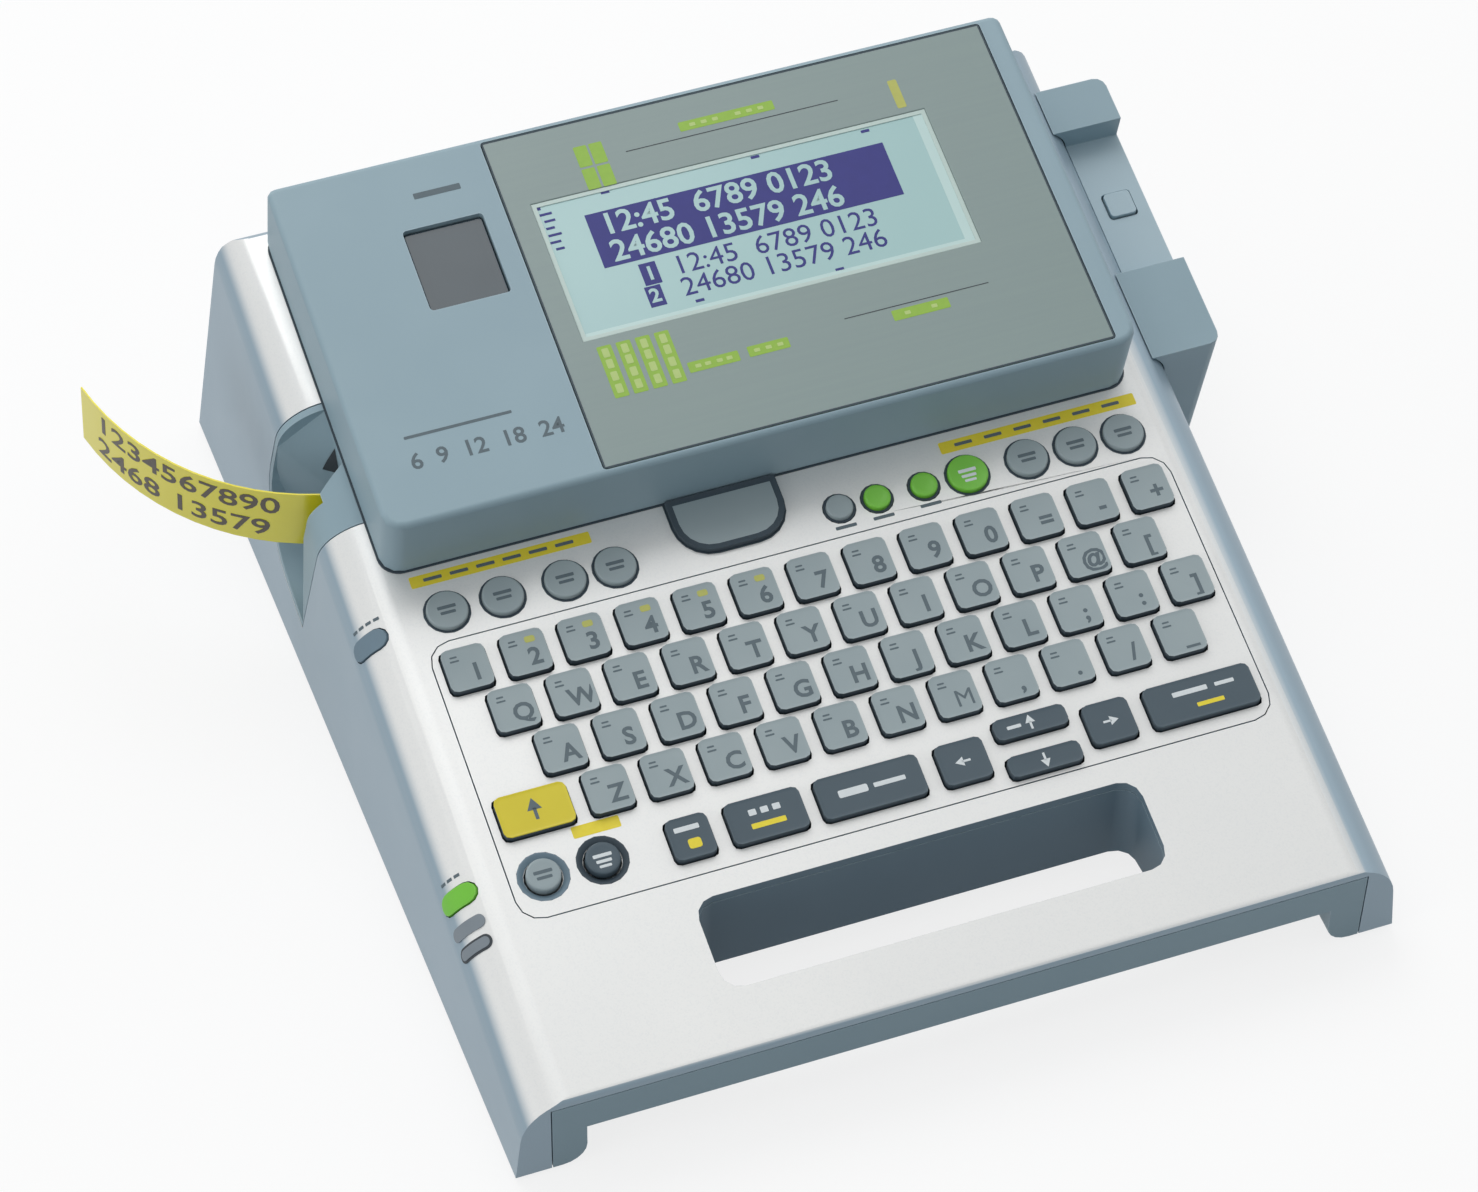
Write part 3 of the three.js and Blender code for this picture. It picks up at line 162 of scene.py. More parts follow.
def addBump(tree, strength, distance, height):
    sockets = {"Strength": strength, "Distance": distance * mm, "Height": height}
    return addNode(tree, "ShaderNodeBump", sockets).outputs["Normal"]


def startGroup(name, numbers):
    group = bpy.data.node_groups.new(name, "ShaderNodeTree")
    for label, value in numbers.items():
        socket = group.interface.new_socket(
            name=label, in_out="INPUT", socket_type="NodeSocketFloat"
        )
        socket.default_value = value
    place = addNode(group, "ShaderNodeTexCoord").outputs["Object"]
    return group, group.nodes.new("NodeGroupInput").outputs, place


def endGroup(group, results):
    for label in results:
        kind = "NodeSocketVector" if label == "Normal" else "NodeSocketFloat"
        group.interface.new_socket(name=label, in_out="OUTPUT", socket_type=kind)
    addNode(group, "NodeGroupOutput", results)


def addGroup(tree, group, values):
    node = tree.nodes.new("ShaderNodeGroup")
    node.node_tree = group
    setSockets(tree, node, values)
    return node.outputs


def startMaterial(name):
    material = bpy.data.materials.new(name)
    material.use_nodes = True
    return material, material.node_tree, material.node_tree.nodes["Principled BSDF"]


reliefLook = {"grain": 0.04, "flakes": 0.02, "lines": 0.02}  # heights of the fine reliefs, mm

# Fine moulded grain, and the slow unevenness of the colour in it
mouldGrain, given, place = startGroup(
    "mouldGrain", {"Scale": 2200, "Depth": 0.2, "Mottle Scale": 30}
)
fine = addNoise(mouldGrain, place, given["Scale"], 3)
slow = addNoise(mouldGrain, place, given["Mottle Scale"], 3)
bump = addBump(mouldGrain, given["Depth"], reliefLook["grain"], fine)
endGroup(mouldGrain, {"Normal": bump, "Mottle": slow})

# Corners that hands have polished, lightened also as a painted highlight along the edges: where the
# rounded normal leaves the true one
edgeRub, given, place = startGroup("edgeRub", {"Width": 0.0005, "Amount": 0.5, "Scale": 120})
rounded = addNode(edgeRub, "ShaderNodeBevel", {"Radius": given["Width"]}, samples=4)
true = addNode(edgeRub, "ShaderNodeNewGeometry")
along = dotProduct(edgeRub, rounded.outputs["Normal"], true.outputs["Normal"])
edge = mapRange(edgeRub, along, 0.995, 0.85)
broken = calculate(edgeRub, "MULTIPLY", edge, addNoise(edgeRub, place, given["Scale"]))
amount = calculate(edgeRub, "MULTIPLY", broken, given["Amount"], use_clamp=True)
endGroup(edgeRub, {"Mask": amount})

# Smears that show in the gloss only: a roughness that wanders round its base value
handMarks, given, place = startGroup("handMarks", {"Base": 0.45, "Spread": 0.08, "Scale": 45})
smear = addNoise(handMarks, place, given["Scale"], 4, 0.6)
swing = calculate(handMarks, "SUBTRACT", smear, 0.5)
rough = calculate(handMarks, "MULTIPLY_ADD", swing, given["Spread"], given["Base"])
endGroup(handMarks, {"Roughness": rough})

# Metal flakes in the silver paint
paintFlake, given, place = startGroup("paintFlake", {"Scale": 2600, "Depth": 0.1})
flake = addNode(paintFlake, "ShaderNodeTexVoronoi", {"Vector": place, "Scale": given["Scale"]})
grey = addNode(paintFlake, "ShaderNodeSeparateColor", {"Color": flake.outputs["Color"]}).outputs
bump = addBump(paintFlake, given["Depth"], reliefLook["flakes"], grey["Red"])
endGroup(paintFlake, {"Shade": grey["Green"], "Normal": bump})

# Fine lines along x, as on brushed metal and its printed likeness
brushedLines, given, place = startGroup("brushedLines", {"Scale": 900, "Depth": 0.1})
drawn = addNode(brushedLines, "ShaderNodeMapping", {"Vector": place, "Scale": (0.02, 1, 1)})
line = addNoise(brushedLines, drawn.outputs["Vector"], given["Scale"], 4)
bump = addBump(brushedLines, given["Depth"], reliefLook["lines"], line)
endGroup(brushedLines, {"Shade": line, "Normal": bump})
print("shader groups built")


def startFinish(name, look, pattern, values, mask):
    # two colours mixed by a pattern that also gives the relief, and smears in the gloss
    material, tree, shader = startMaterial(name)
    surface = addGroup(tree, pattern, values)
    marks = addGroup(tree, handMarks, {"Base": look["roughness"], "Spread": look["marks"]})
    base = mixColours(tree, surface[mask], paint(*look["colour"]), paint(*look["shade"]))
    setSockets(
        tree, shader,
        {"Base Color": base, "Roughness": marks["Roughness"], "Normal": surface["Normal"]},
    )
    return material, tree, shader, base


def mouldedPlastic(name, look):
    values = {
        "Scale": look["grain"], "Depth": look["depth"], "Mottle Scale": look.get("mottle", 30),
    }
    material, tree, shader, base = startFinish(name, look, mouldGrain, values, "Mottle")
    # wear and painted highlight: the edges turn to the lighter rubbed colour
    rub = addGroup(tree, edgeRub, {"Amount": look["rub"]})
    wornAndHighlit = mixColours(tree, rub["Mask"], base, paint(*look["rubbed"]))
    setSockets(tree, shader, {"Base Color": wornAndHighlit})
    return material


def silverWithPaintedShade(name, look):
    values = {"Mottle Scale": look["mottle"]}
    material, tree, shader, base = startFinish(name, look, mouldGrain, values, "Mottle")
    flakes = addGroup(tree, paintFlake, {"Depth": look["flakeDepth"]})
    few = mapRange(tree, flakes["Shade"], look["flakesFrom"], 1, 0, look["flakeAmount"])
    speckled = mixColours(tree, few, base, paint(*look["flakes"]))
    # painted shade and reflection: faces turned away from the upper left fade from the silver to a
    # blue-grey, cover being the share that stays silver
    facing = addNode(tree, "ShaderNodeNewGeometry")
    towards = dotProduct(tree, facing.outputs["Normal"], look["sprayed"])
    cover = mapRange(
        tree, towards, look["thinBelow"], look["fullAbove"], interpolation_type="SMOOTHSTEP"
    )
    sprayed = mixColours(tree, cover, paint(*look["thin"]), speckled)
    setSockets(
        tree, shader,
        {"Base Color": sprayed, "Normal": flakes["Normal"], "Metallic": look["metal"]},
    )
    return material


def brushedSheet(name, look):
    values = {"Depth": look["lines"]}
    material, tree, shader, base = startFinish(name, look, brushedLines, values, "Shade")
    setSockets(tree, shader, {"Metallic": look["metal"]})
    return material


def glossySheet(name, look):  # smooth printed, laminated or clear surfaces
    values = {"Mottle Scale": look["mottle"], "Depth": look["depth"]}
    material, tree, shader, base = startFinish(name, look, mouldGrain, values, "Mottle")
    setSockets(
        tree, shader, {"Coat Weight": look.get("coat", 0), "Coat Roughness": coatRoughness}
    )
    return material


plasticColumns = (
    "colour", "shade", "rubbed", "grain", "depth", "roughness", "marks", "rub", "mottle",
)
plasticRows = {
    "blueGrey":
        ((151, 175, 185), (141, 165, 176), (187, 204, 212), 2400, 0.35, 0.5, 0.12, 0.9),
    # also the painted light on the sunk shelf of the side housing
    "paleBlueGrey":
        ((176, 197, 206), (166, 187, 197), (188, 204, 212), 2400, 0.35, 0.5, 0.12, 0.9),
    "darkBlueGrey":
        ((112, 134, 148), (102, 124, 138), (134, 152, 163), 2000, 0.5, 0.56, 0.1, 0.6),
    "greyKey":
        ((160, 173, 176), (143, 158, 163), (182, 192, 194), 3000, 0.3, 0.52, 0.16, 0.8, 60),
    "darkKey":
        ((70, 87, 97), (60, 77, 88), (98, 114, 123), 3000, 0.3, 0.5, 0.16, 0.8, 60),
    "yellowKey":
        ((222, 206, 40), (208, 190, 30), (232, 220, 90), 3000, 0.25, 0.42, 0.14, 0.6, 60),
    "greenButton":
        ((126, 208, 62), (108, 192, 50), (166, 224, 116), 2600, 0.15, 0.3, 0.14, 0.6, 90),
    "lightGrey":
        ((205, 210, 212), (194, 200, 203), (222, 226, 228), 1800, 0.4, 0.5, 0.1, 0.5),
    "rubberGrip":
        ((58, 62, 65), (48, 52, 55), (84, 88, 90), 1200, 0.7, 0.82, 0.1, 0.6),
    "keyWell":  # the shaded walls of the wells that the keys stand in, and their skirts
        ((58, 72, 82), (48, 62, 72), (70, 84, 94), 1500, 0.4, 0.65, 0.08, 0.2),
}
silverPaintLook = {
    "colour": (234, 234, 232), "shade": (225, 226, 225), "flakes": (211, 214, 216),
    "thin": (148, 168, 181),  # painted shade and reflection: walls turned away from the upper left take this blue-grey, as the silver would mirror darker surroundings there
    "sprayed": (-0.34, -0.28, 0.9), "thinBelow": 0.73, "fullAbove": 0.93, "mottle": 14,
    "metal": 0.3, "roughness": 0.38, "marks": 0.1,
    "flakeAmount": 0.2, "flakesFrom": 0.55, "flakeDepth": 0.12,
}
displayPrintLook = {
    "colour": (138, 155, 152), "shade": (133, 150, 149), "roughness": 0.34, "marks": 0.12,
    "lines": 0.03, "metal": 0,
}
steelLook = {
    "colour": (196, 199, 202), "shade": (168, 172, 176), "roughness": 0.32, "marks": 0.12,
    "lines": 0.2, "metal": 0.9,
}
coatRoughness = 0.08
sheetColumns = ("colour", "shade", "mottle", "depth", "roughness", "marks", "coat")
sheetRows = {
    "lcdGlass": ((174, 208, 206), (162, 197, 199), 12, 0.02, 0.16, 0.08),
    "smokedWindow": ((50, 68, 78), (42, 59, 68), 40, 0.02, 0.14, 0.08),
    "tapeBacking": ((222, 226, 226), (212, 217, 218), 50, 0.06, 0.4, 0.1),
    "labelTape": ((252, 238, 40), (246, 230, 32), 50, 0.06, 0.3, 0.12, 0.2),
    "boardMask": ((38, 104, 62), (28, 90, 52), 200, 0.2, 0.36, 0.1),
    "cellWrap": ((46, 52, 58), (38, 44, 50), 90, 0.15, 0.3, 0.12),
    "darkInk": ((92, 107, 114), (82, 97, 105), 900, 0.1, 0.6, 0.05),
    "blackInk": ((52, 60, 66), (42, 50, 56), 900, 0.1, 0.55, 0.05),
    "whiteInk": ((226, 232, 234), (214, 221, 224), 900, 0.1, 0.55, 0.05),
    "yellowInk": ((242, 224, 58), (234, 212, 48), 900, 0.1, 0.5, 0.05),
    "paleYellowInk": ((188, 190, 96), (178, 180, 92), 900, 0.1, 0.5, 0.05),
    "greenInk": ((150, 190, 66), (138, 180, 60), 700, 0.1, 0.45, 0.05),
    "paleGreenInk": ((186, 208, 128), (176, 200, 118), 700, 0.1, 0.45, 0.05),
    "navyInk": ((38, 40, 126), (30, 32, 114), 300, 0.02, 0.5, 0.05),
    "tapeInk": ((58, 44, 20), (48, 36, 16), 500, 0.05, 0.35, 0.05),
    "lcdEdge": ((198, 224, 221), (190, 216, 214), 60, 0.02, 0.25, 0.05),
    "rimPale": ((196, 214, 208), (186, 205, 200), 60, 0.02, 0.3, 0.05),
    "lampGrey": ((132, 142, 150), (120, 130, 138), 200, 0.05, 0.25, 0.05),
}
finishes = {
    name: mouldedPlastic(name, dict(zip(plasticColumns, row)))
    for name, row in plasticRows.items()
}
finishes["silverPaint"] = silverWithPaintedShade("silverPaint", silverPaintLook)
finishes["displayPrint"] = brushedSheet("displayPrint", displayPrintLook)
finishes["steel"] = brushedSheet("steel", steelLook)
for name, row in sheetRows.items():
    finishes[name] = glossySheet(name, dict(zip(sheetColumns, row)))
print("materials built:", len(bpy.data.materials))


# Modelling

shaping = {  # what all the pieces share; lengths in mm, angles in degrees
    "merge": 0.02, "flatWithin": 0.6, "roundFrom": 42, "smoothBelow": 35, "printDepth": 0.04,
}
printDepth = shaping["printDepth"]


def pick(*pieces):
    if bpy.context.object and bpy.context.object.mode != "OBJECT":
        bpy.ops.object.mode_set(mode="OBJECT")
    bpy.ops.object.select_all(action="DESELECT")
    for piece in pieces:
        piece.select_set(True)
    bpy.context.view_layer.objects.active = pieces[0]


def editAll():  # the active piece in edit mode, selected all over
    bpy.ops.object.mode_set(mode="EDIT")
    bpy.ops.mesh.select_all(action="SELECT")


def leaveEdit():
    bpy.ops.object.mode_set(mode="OBJECT")


def leaveClosed():  # the same, once the faces point outwards
    bpy.ops.mesh.select_all(action="SELECT")
    bpy.ops.mesh.normals_make_consistent(inside=False)
    leaveEdit()


def extrudeBy(move):
    bpy.ops.mesh.extrude_region_move(TRANSFORM_OT_translate={"value": move})


def chooseFaces(piece, rule):  # ends in edit mode with those faces selected
    pick(piece)
    bpy.ops.object.mode_set(mode="EDIT")
    bpy.ops.mesh.select_mode(type="FACE")
    bpy.ops.mesh.select_all(action="DESELECT")
    leaveEdit()
    for face in piece.data.polygons:
        face.select = bool(rule(face))
    bpy.ops.object.mode_set(mode="EDIT")


def corners(piece):  # lowest and highest corner of a mesh
    places = [vertex.co for vertex in piece.data.vertices]
    low = Vector([min(place[axis] for place in places) for axis in range(3)])
    high = Vector([max(place[axis] for place in places) for axis in range(3)])
    return low, high


def copySolid(node, name):
    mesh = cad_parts[node].data.copy()
    mesh.materials.clear()
    mesh.name = name
    piece = bpy.data.objects.new(name, mesh)
    bpy.context.scene.collection.objects.link(piece)
    pick(piece)
    bpy.ops.mesh.customdata_custom_splitnormals_clear()
    mesh.transform(deckBack)
    editAll()
    bpy.ops.mesh.remove_doubles(threshold=shaping["merge"] * mm)
    bpy.ops.mesh.dissolve_limited(angle_limit=math.radians(shaping["flatWithin"]))
    leaveEdit()
    return piece


def roundEdges(piece, width, steps=3):
    pick(piece)
    bevel = piece.modifiers.new("Round", "BEVEL")
    bevel.width = width * mm
    bevel.segments = steps
    bevel.limit_method = "ANGLE"
    bevel.angle_limit = math.radians(shaping["roundFrom"])
    bevel.use_clamp_overlap = True
    bpy.ops.object.modifier_apply(modifier=bevel.name)


def smoothFaces(piece, angle=shaping["smoothBelow"]):
    pick(piece)
    bpy.ops.object.shade_smooth_by_angle(angle=math.radians(angle))
    weighted = piece.modifiers.new("Flats", "WEIGHTED_NORMAL")
    weighted.keep_sharp = True
    bpy.ops.object.modifier_apply(modifier=weighted.name)


def settle(piece, body, finish, slotName, *nodes, turn=deckTurn):
    # back onto the deck, then its finish, its body and what it stands for
    piece.data.transform(turn)
    if not piece.data.materials:
        piece.data.materials.append(finishes[finish])
    if nodes:
        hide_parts(*nodes)
    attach(piece, body)
    return piece


def dressPiece(piece, node, body, finish, slotName, second=None, rule=None):
    # the second finish goes on the faces that the rule picks
    if second:
        piece.data.materials.append(finishes[finish])
        piece.data.materials.append(finishes[second])
        chooseFaces(piece, rule)
        bpy.context.object.active_material_index = 1
        bpy.ops.object.material_slot_assign()
        leaveEdit()
    smoothFaces(piece)
    return settle(piece, body, finish, slotName, node)


def dressSolid(node, name, body, finish, slotName, edge=0.4, second=None, rule=None):
    piece = copySolid(node, name)
    if edge:
        roundEdges(piece, edge)
    return dressPiece(piece, node, body, finish, slotName, second, rule)


def joinPieces(pieces, name):
    pick(*pieces)
    if len(pieces) > 1:
        bpy.ops.object.join()
    joined = bpy.context.object
    joined.name = name
    joined.data.name = name
    return joined


def addTrim(pieces, name, body, finish, slotName, turn=deckTurn):
    return settle(joinPieces(pieces, name), body, finish, slotName, turn=turn)


def addPrimitive(operator, **settings):  # with its place and size applied
    bpy.ops.object.select_all(action="DESELECT")
    operator(**settings)
    bpy.ops.object.transform_apply(location=True, rotation=True, scale=True)
    return bpy.context.object


def addFlat(left, right, front, back, level, corner=0.3, steps=3):
    # one flat face with round corners, in mm on the level deck
    flat = addPrimitive(bpy.ops.mesh.primitive_plane_add, size=1)
    editAll()
    bpy.ops.transform.resize(value=((right - left) * mm, (back - front) * mm, 1))
    middle = ((left + right) / 2 * mm, (front + back) / 2 * mm, level * mm)
    bpy.ops.transform.translate(value=middle)
    if corner:
        bpy.ops.mesh.bevel(
            affect="VERTICES", offset=corner * mm, segments=steps, clamp_overlap=True
        )
    leaveEdit()
    return flat


def addPlate(left, right, front, back, low, high, corner=0.3, steps=3):
    plate = addFlat(left, right, front, back, low, corner, steps)
    editAll()
    extrudeBy((0, 0, (high - low) * mm))
    leaveClosed()
    return plate


def addPlates(places, low, high, corner=0.3, steps=3):
    return [addPlate(*place, low, high, corner, steps) for place in places]


def thickenFlat(piece, width, height):  # a flat outline becomes a frame of that width and height
    pick(piece)
    editAll()
    bpy.ops.mesh.inset(thickness=width * mm)
    bpy.ops.mesh.delete(type="FACE")
    bpy.ops.mesh.select_all(action="SELECT")
    extrudeBy((0, 0, height * mm))
    leaveClosed()
    return piece


def addFrame(look, low, high, steps=8):
    flat = addFlat(
        look["left"], look["right"], look["front"], look["back"], low, look["corner"], steps
    )
    return thickenFlat(flat, look["width"], high - low)


def addRing(x, y, inner, outer, low, high, steps=48):
    circle = addPrimitive(
        bpy.ops.mesh.primitive_circle_add, vertices=steps, radius=outer * mm,
        fill_type="NGON", location=(x * mm, y * mm, low * mm),
    )
    return thickenFlat(circle, outer - inner, high - low)


def addDisc(x, y, radius, low, high, steps):
    return addPrimitive(
        bpy.ops.mesh.primitive_cylinder_add, vertices=steps, radius=radius * mm,
        depth=(high - low) * mm, location=(x * mm, y * mm, (low + high) / 2 * mm),
    )


def addMark(x, y, wide, deep, level, corner=0.2, steps=2):
    return addPlate(
        x - wide / 2, x + wide / 2, y - deep / 2, y + deep / 2, level, level + printDepth,
        min(corner, 0.49 * min(wide, deep)), steps,
    )


def addText(words, size, x, y, level, bold=0.02, side="CENTER"):
    # drawn a metre tall and shrunk as a mesh, because tiny outlines don't fill cleanly
    bpy.ops.object.select_all(action="DESELECT")
    bpy.ops.object.text_add()
    text = bpy.context.object
    text.data.body = words
    text.data.size = 1
    text.data.offset = bold / size
    text.data.extrude = printDepth / 2 / size
    text.data.resolution_u = 3
    text.data.align_x = side
    text.data.align_y = "CENTER"
    bpy.ops.object.convert(target="MESH")
    mark = bpy.context.object
    mark.data.transform(Matrix.Scale(size * mm, 4))
    mark.data.transform(Matrix.Translation((x * mm, y * mm, (level + printDepth / 2) * mm)))
    return mark


def addMarks(marks, level, right=0, up=0):
    # a mark is its middle, width and depth, with its corner and steps if they aren't the usual
    return [
        addMark(x + right, y + up, wide, deep, level, *rest)
        for x, y, wide, deep, *rest in marks
    ]


def printAll(prints):
    # a print is its body, finish, slot, level, marks, and any texts: words, size, x, y, bold, side
    for name, (body, finish, slotName, level, marks, *texts) in prints.items():
        pieces = [addText(words, size, x, y, level, *rest) for words, size, x, y, *rest in texts]
        addTrim(pieces + addMarks(marks, level), name, body, finish, slotName)


# Case

handleLook = {"x": (-55.6, 58.2), "y": (14.0, 39.3)}  # the opening, from the front of the case
caseHalves = {  # name, finish, slot, round edges, and how far a wall may lean to be picked
    "top_case": ("upperCase", "silverPaint", "silver", 0.5, 0.35),
    "base_case": ("lowerCase", "blueGrey", "blue_grey", 0.8, 0.5),
}


def inHandle(look, steep):  # a rule that picks the walls of the opening
    (left, right), (front, back) = look["x"], look["y"]

    def rule(face):
        y = (deckTurn @ face.center).y - deck["front"]
        inside = left * mm < face.center.x < right * mm and front * mm < y < back * mm
        return inside and abs(face.normal.z) < steep

    return rule


# painted shade: the walls of the handle opening take the darker blue-grey
for node, (name, finish, slotName, edge, steep) in caseHalves.items():
    rule = inHandle(handleLook, steep)
    dressSolid(node, name, "printer", finish, slotName, edge, "darkBlueGrey", rule)
dressSolid("battery_door", "batteryDoor", "battery_cover", "blueGrey", "blue_grey", edge=0.3)
for node in [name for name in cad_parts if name.endswith("_foot")]:
    dressSolid(node, node + "_pad", "printer", "rubberGrip", "rubber", edge=0.5)
print("case dressed")


# Keyboard

keyboardLook = {"edge": 0.35, "margin": 2.5, "below": 0.3}


def makeKeyboardPanel(look):  # painted shade: the walls of the key wells are dark
    piece = copySolid("keyboard_panel", "keyboardPanel")
    roundEdges(piece, look["edge"], 2)
    low, high = corners(piece)
    margin = look["margin"] * mm

    def rule(face):
        place = face.center
        return (
            face.normal.z < look["below"]
            and low.x + margin < place.x < high.x - margin
            and low.y + margin < place.y < high.y - margin
        )

    dressPiece(
        piece, "keyboard_panel", "printer", "silverPaint", "silver", "keyWell", rule
    )


makeKeyboardPanel(keyboardLook)

keyCapLook = {"top": 1.75, "rim": 0.9, "dish": 0.22, "edge": 0.32, "skirt": 1.2, "steep": 0.3}


def onTop(height):  # a rule that picks level faces at that height or above
    return lambda face: face.normal.z > 0.99 and face.center.z > (height - 0.05) * mm


def makeKeyCaps(node, name, finish, slotName, look):
    piece = copySolid(node, name)
    chooseFaces(piece, onTop(look["top"]))
    bpy.ops.mesh.inset(thickness=look["rim"] * mm, depth=-look["dish"] * mm, use_individual=True)
    leaveEdit()
    roundEdges(piece, look["edge"])

    # painted shade: the lower sides of the caps take the dark finish of the wells
    def rule(face):
        return abs(face.normal.z) < look["steep"] and face.center.z < look["skirt"] * mm

    dressPiece(piece, node, node + "_body", finish, slotName, "keyWell", rule)


keyFace = keyCapLook["top"] - keyCapLook["dish"]
legendLook = {
    "size": 6.4, "x": 1.9, "y": -1.7, "bold": 0.18,
    "thin": "M",  # the outline of this letter would cross itself if it were thickened
    "small": ((-2.5, 3.5, 1.8, 0.45), (-2.5, 2.4, 2.3, 0.45)),  # two short lines on each key
    "mark": (1.9, 3.2, 2.6, 1.7, 0.5),
}
characterRows = {  # name, legends, place of the first key in key pitches, y, keys with a gold mark
    "number_row_keys": ("numberRow", "1234567890=-+", -6, 112.2, (1, 2, 3, 4, 5)),
    "upper_row_keys": ("upperRow", "QWERTYUIOP@[", -5.5, 98.8, ()),
    "home_row_keys": ("homeRow", "ASDFGHJKL;:]", -5, 85.4, ()),
    "lower_row_keys": ("lowerRow", "ZXCVBNM,./_", -4.5, 72.0, ()),
}


def makeCharacterRow(node, look, name, legends, first, y, marked):
    makeKeyCaps(node, name, "greyKey", "grey_key", keyCapLook)
    inked, gold = [], []
    for index, letter in enumerate(legends):
        x = keyX(first + index)
        bold = 0 if letter in look["thin"] else look["bold"]
        inked.append(addText(letter, look["size"], x + look["x"], y + look["y"], keyFace, bold))
        inked += addMarks(look["small"], keyFace, x, y)
        if index in marked:
            gold += addMarks([look["mark"]], keyFace, x, y)
    addTrim(inked, name + "Legends", node + "_body", "darkInk", "dark_key")
    if gold:
        addTrim(gold, name + "Marks", node + "_body", "paleYellowInk", "yellow_key")


for node, row in characterRows.items():
    makeCharacterRow(node, legendLook, *row)
print("character keys dressed")

# Command keys: x is in key pitches, an arrow is (turn, size), and the bars of a legend are marks
# from the middle of the key
commandKeys = {
    "shift_key": {
        "name": "shiftKey", "x": (-6.36, -5.14), "y": 71.8, "finish": "yellowKey",
        "slot": "yellow_key", "ink": "darkInk", "arrow": (90, 5),
    },
    "input_mode_key": {
        "name": "modeKey", "x": (-3.85, -3.14), "pale": ((-0.4, 2.4, 6.2, 1.3),),
        "gold": ((0.4, -1.8, 3.2, 2.6, 0.6),),
    },
    "code_key": {
        "name": "codeKey", "x": (-2.85, -1.56), "gold": ((0, -1.8, 8.6, 1.4),),
        "pale": ((-3, 1.8, 1.9, 1.6), (0, 1.8, 1.9, 1.6), (3, 1.8, 1.9, 1.6)),
    },
    "space_key": {
        "name": "spaceKey", "x": (-1.31, 0.49),
        "pale": ((-4.4, 0.2, 7.4, 2.0, 0.4), (4.8, 0.2, 8, 1.2)),
    },
    "left_arrow_key": {"name": "leftKey", "x": (0.79, 1.62), "arrow": (180, 3.4)},
    "up_arrow_key": {
        "name": "upKey", "x": (1.87, 3.14), "y": 59.6, "arrow": (90, 3.4),
        "pale": ((-4.2, 0, 3.6, 0.9),),
    },
    "down_arrow_key": {"name": "downKey", "x": (1.87, 3.14), "y": 49.4, "arrow": (-90, 3.4)},
    "right_arrow_key": {"name": "rightKey", "x": (3.38, 4.18), "arrow": (0, 3.4)},
    "enter_key": {
        "name": "enterKey", "x": (4.46, 6.36), "gold": ((1.6, -2.1, 7, 1.1),),
        "pale": ((-2.4, 1.9, 9, 1.3), (6.6, 1.9, 5, 1.0)),
    },
}
commandRow = 54.5  # y of the keys that have none of their own
arrowLook = {"tail": -0.2, "long": 0.62, "thick": 0.17, "head": 0.42, "tip": 0.22}  # shares of size


def turned(degrees):
    return Matrix.Rotation(math.radians(degrees), 4, "Z")


def addArrow(x, y, level, turn, size, look=arrowLook):
    # a bar with a triangular head, pointing along x before it is turned
    bar = addMark(look["tail"] * size, 0, look["long"] * size, look["thick"] * size, 0, 0)
    head = addPrimitive(
        bpy.ops.mesh.primitive_circle_add, vertices=3, radius=look["head"] * size * mm,
        fill_type="NGON",
    )
    editAll()
    extrudeBy((0, 0, printDepth * mm))
    leaveClosed()
    head.data.transform(Matrix.Translation((look["tip"] * size * mm, 0, 0)) @ turned(-90))
    arrow = joinPieces([bar, head], "arrow")
    arrow.data.transform(Matrix.Translation((x * mm, y * mm, level * mm)) @ turned(turn))
    return arrow


def makeCommandKey(node, key):
    body = node + "_body"
    slotName = key.get("slot", "dark_key")
    makeKeyCaps(node, key["name"], key.get("finish", "darkKey"), slotName, keyCapLook)
    x, y = keyX(sum(key["x"]) / 2), key.get("y", commandRow)
    pale = [addArrow(x, y, keyFace, *key["arrow"])] if "arrow" in key else []
    pale += addMarks(key.get("pale", ()), keyFace, x, y)
    addTrim(pale, key["name"] + "Legend", body, key.get("ink", "whiteInk"), "light_grey")
    if "gold" in key:
        gold = addMarks(key["gold"], keyFace, x, y)
        addTrim(gold, key["name"] + "Second", body, "yellowInk", "yellow_key")


for node, key in commandKeys.items():
    makeCommandKey(node, key)
print("command keys dressed")

# Round buttons: a bevelled, dished cap and its bars, the same at each of three sizes

roundCapLook = {
    "steps": 48, "low": -1.2, "top": 1.4, "edge": 0.45, "rim": 0.8, "dish": 0.12, "centre": 0.03,
    "bars": ((0, 0.7, 4.6, 0.9), (0, -0.8, 3.8, 0.8), (0, -2.1, 3.0, 0.7)),
    "row": 128.8, "ringRow": 55.4, "gapInner": 0.06, "gapOuter": 0.68,
}
roundButtons = {  # place in key pitches, radius, finish, slot, and the finish of a ring round it
    "file_button": (-5.985, 5.1, "greyKey", "grey_key"),
    "style_button": (-5.026, 5.1, "greyKey", "grey_key"),
    "format_button": (-3.945, 5.1, "greyKey", "grey_key"),
    "frame_button": (-3.071, 5.1, "greyKey", "grey_key"),
    "clear_button": (0.88, 3.35, "greyKey", "grey_key"),
    "preview_button": (1.553, 3.35, "greenButton", "green_key"),
    "feed_button": (2.393, 3.35, "greenButton", "green_key"),
    "print_button": (3.179, 5.1, "greenButton", "green_key"),
    "memory_button": (4.258, 5.1, "greyKey", "grey_key"),
    "settings_button": (5.139, 5.1, "greyKey", "grey_key"),
    "copies_button": (6.009, 5.1, "greyKey", "grey_key"),
    "symbol_button": (-5.966, 4.2, "greyKey", "grey_key", "darkBlueGrey"),
    "rules_button": (-4.966, 4.2, "darkKey", "dark_key", "keyWell"),
}


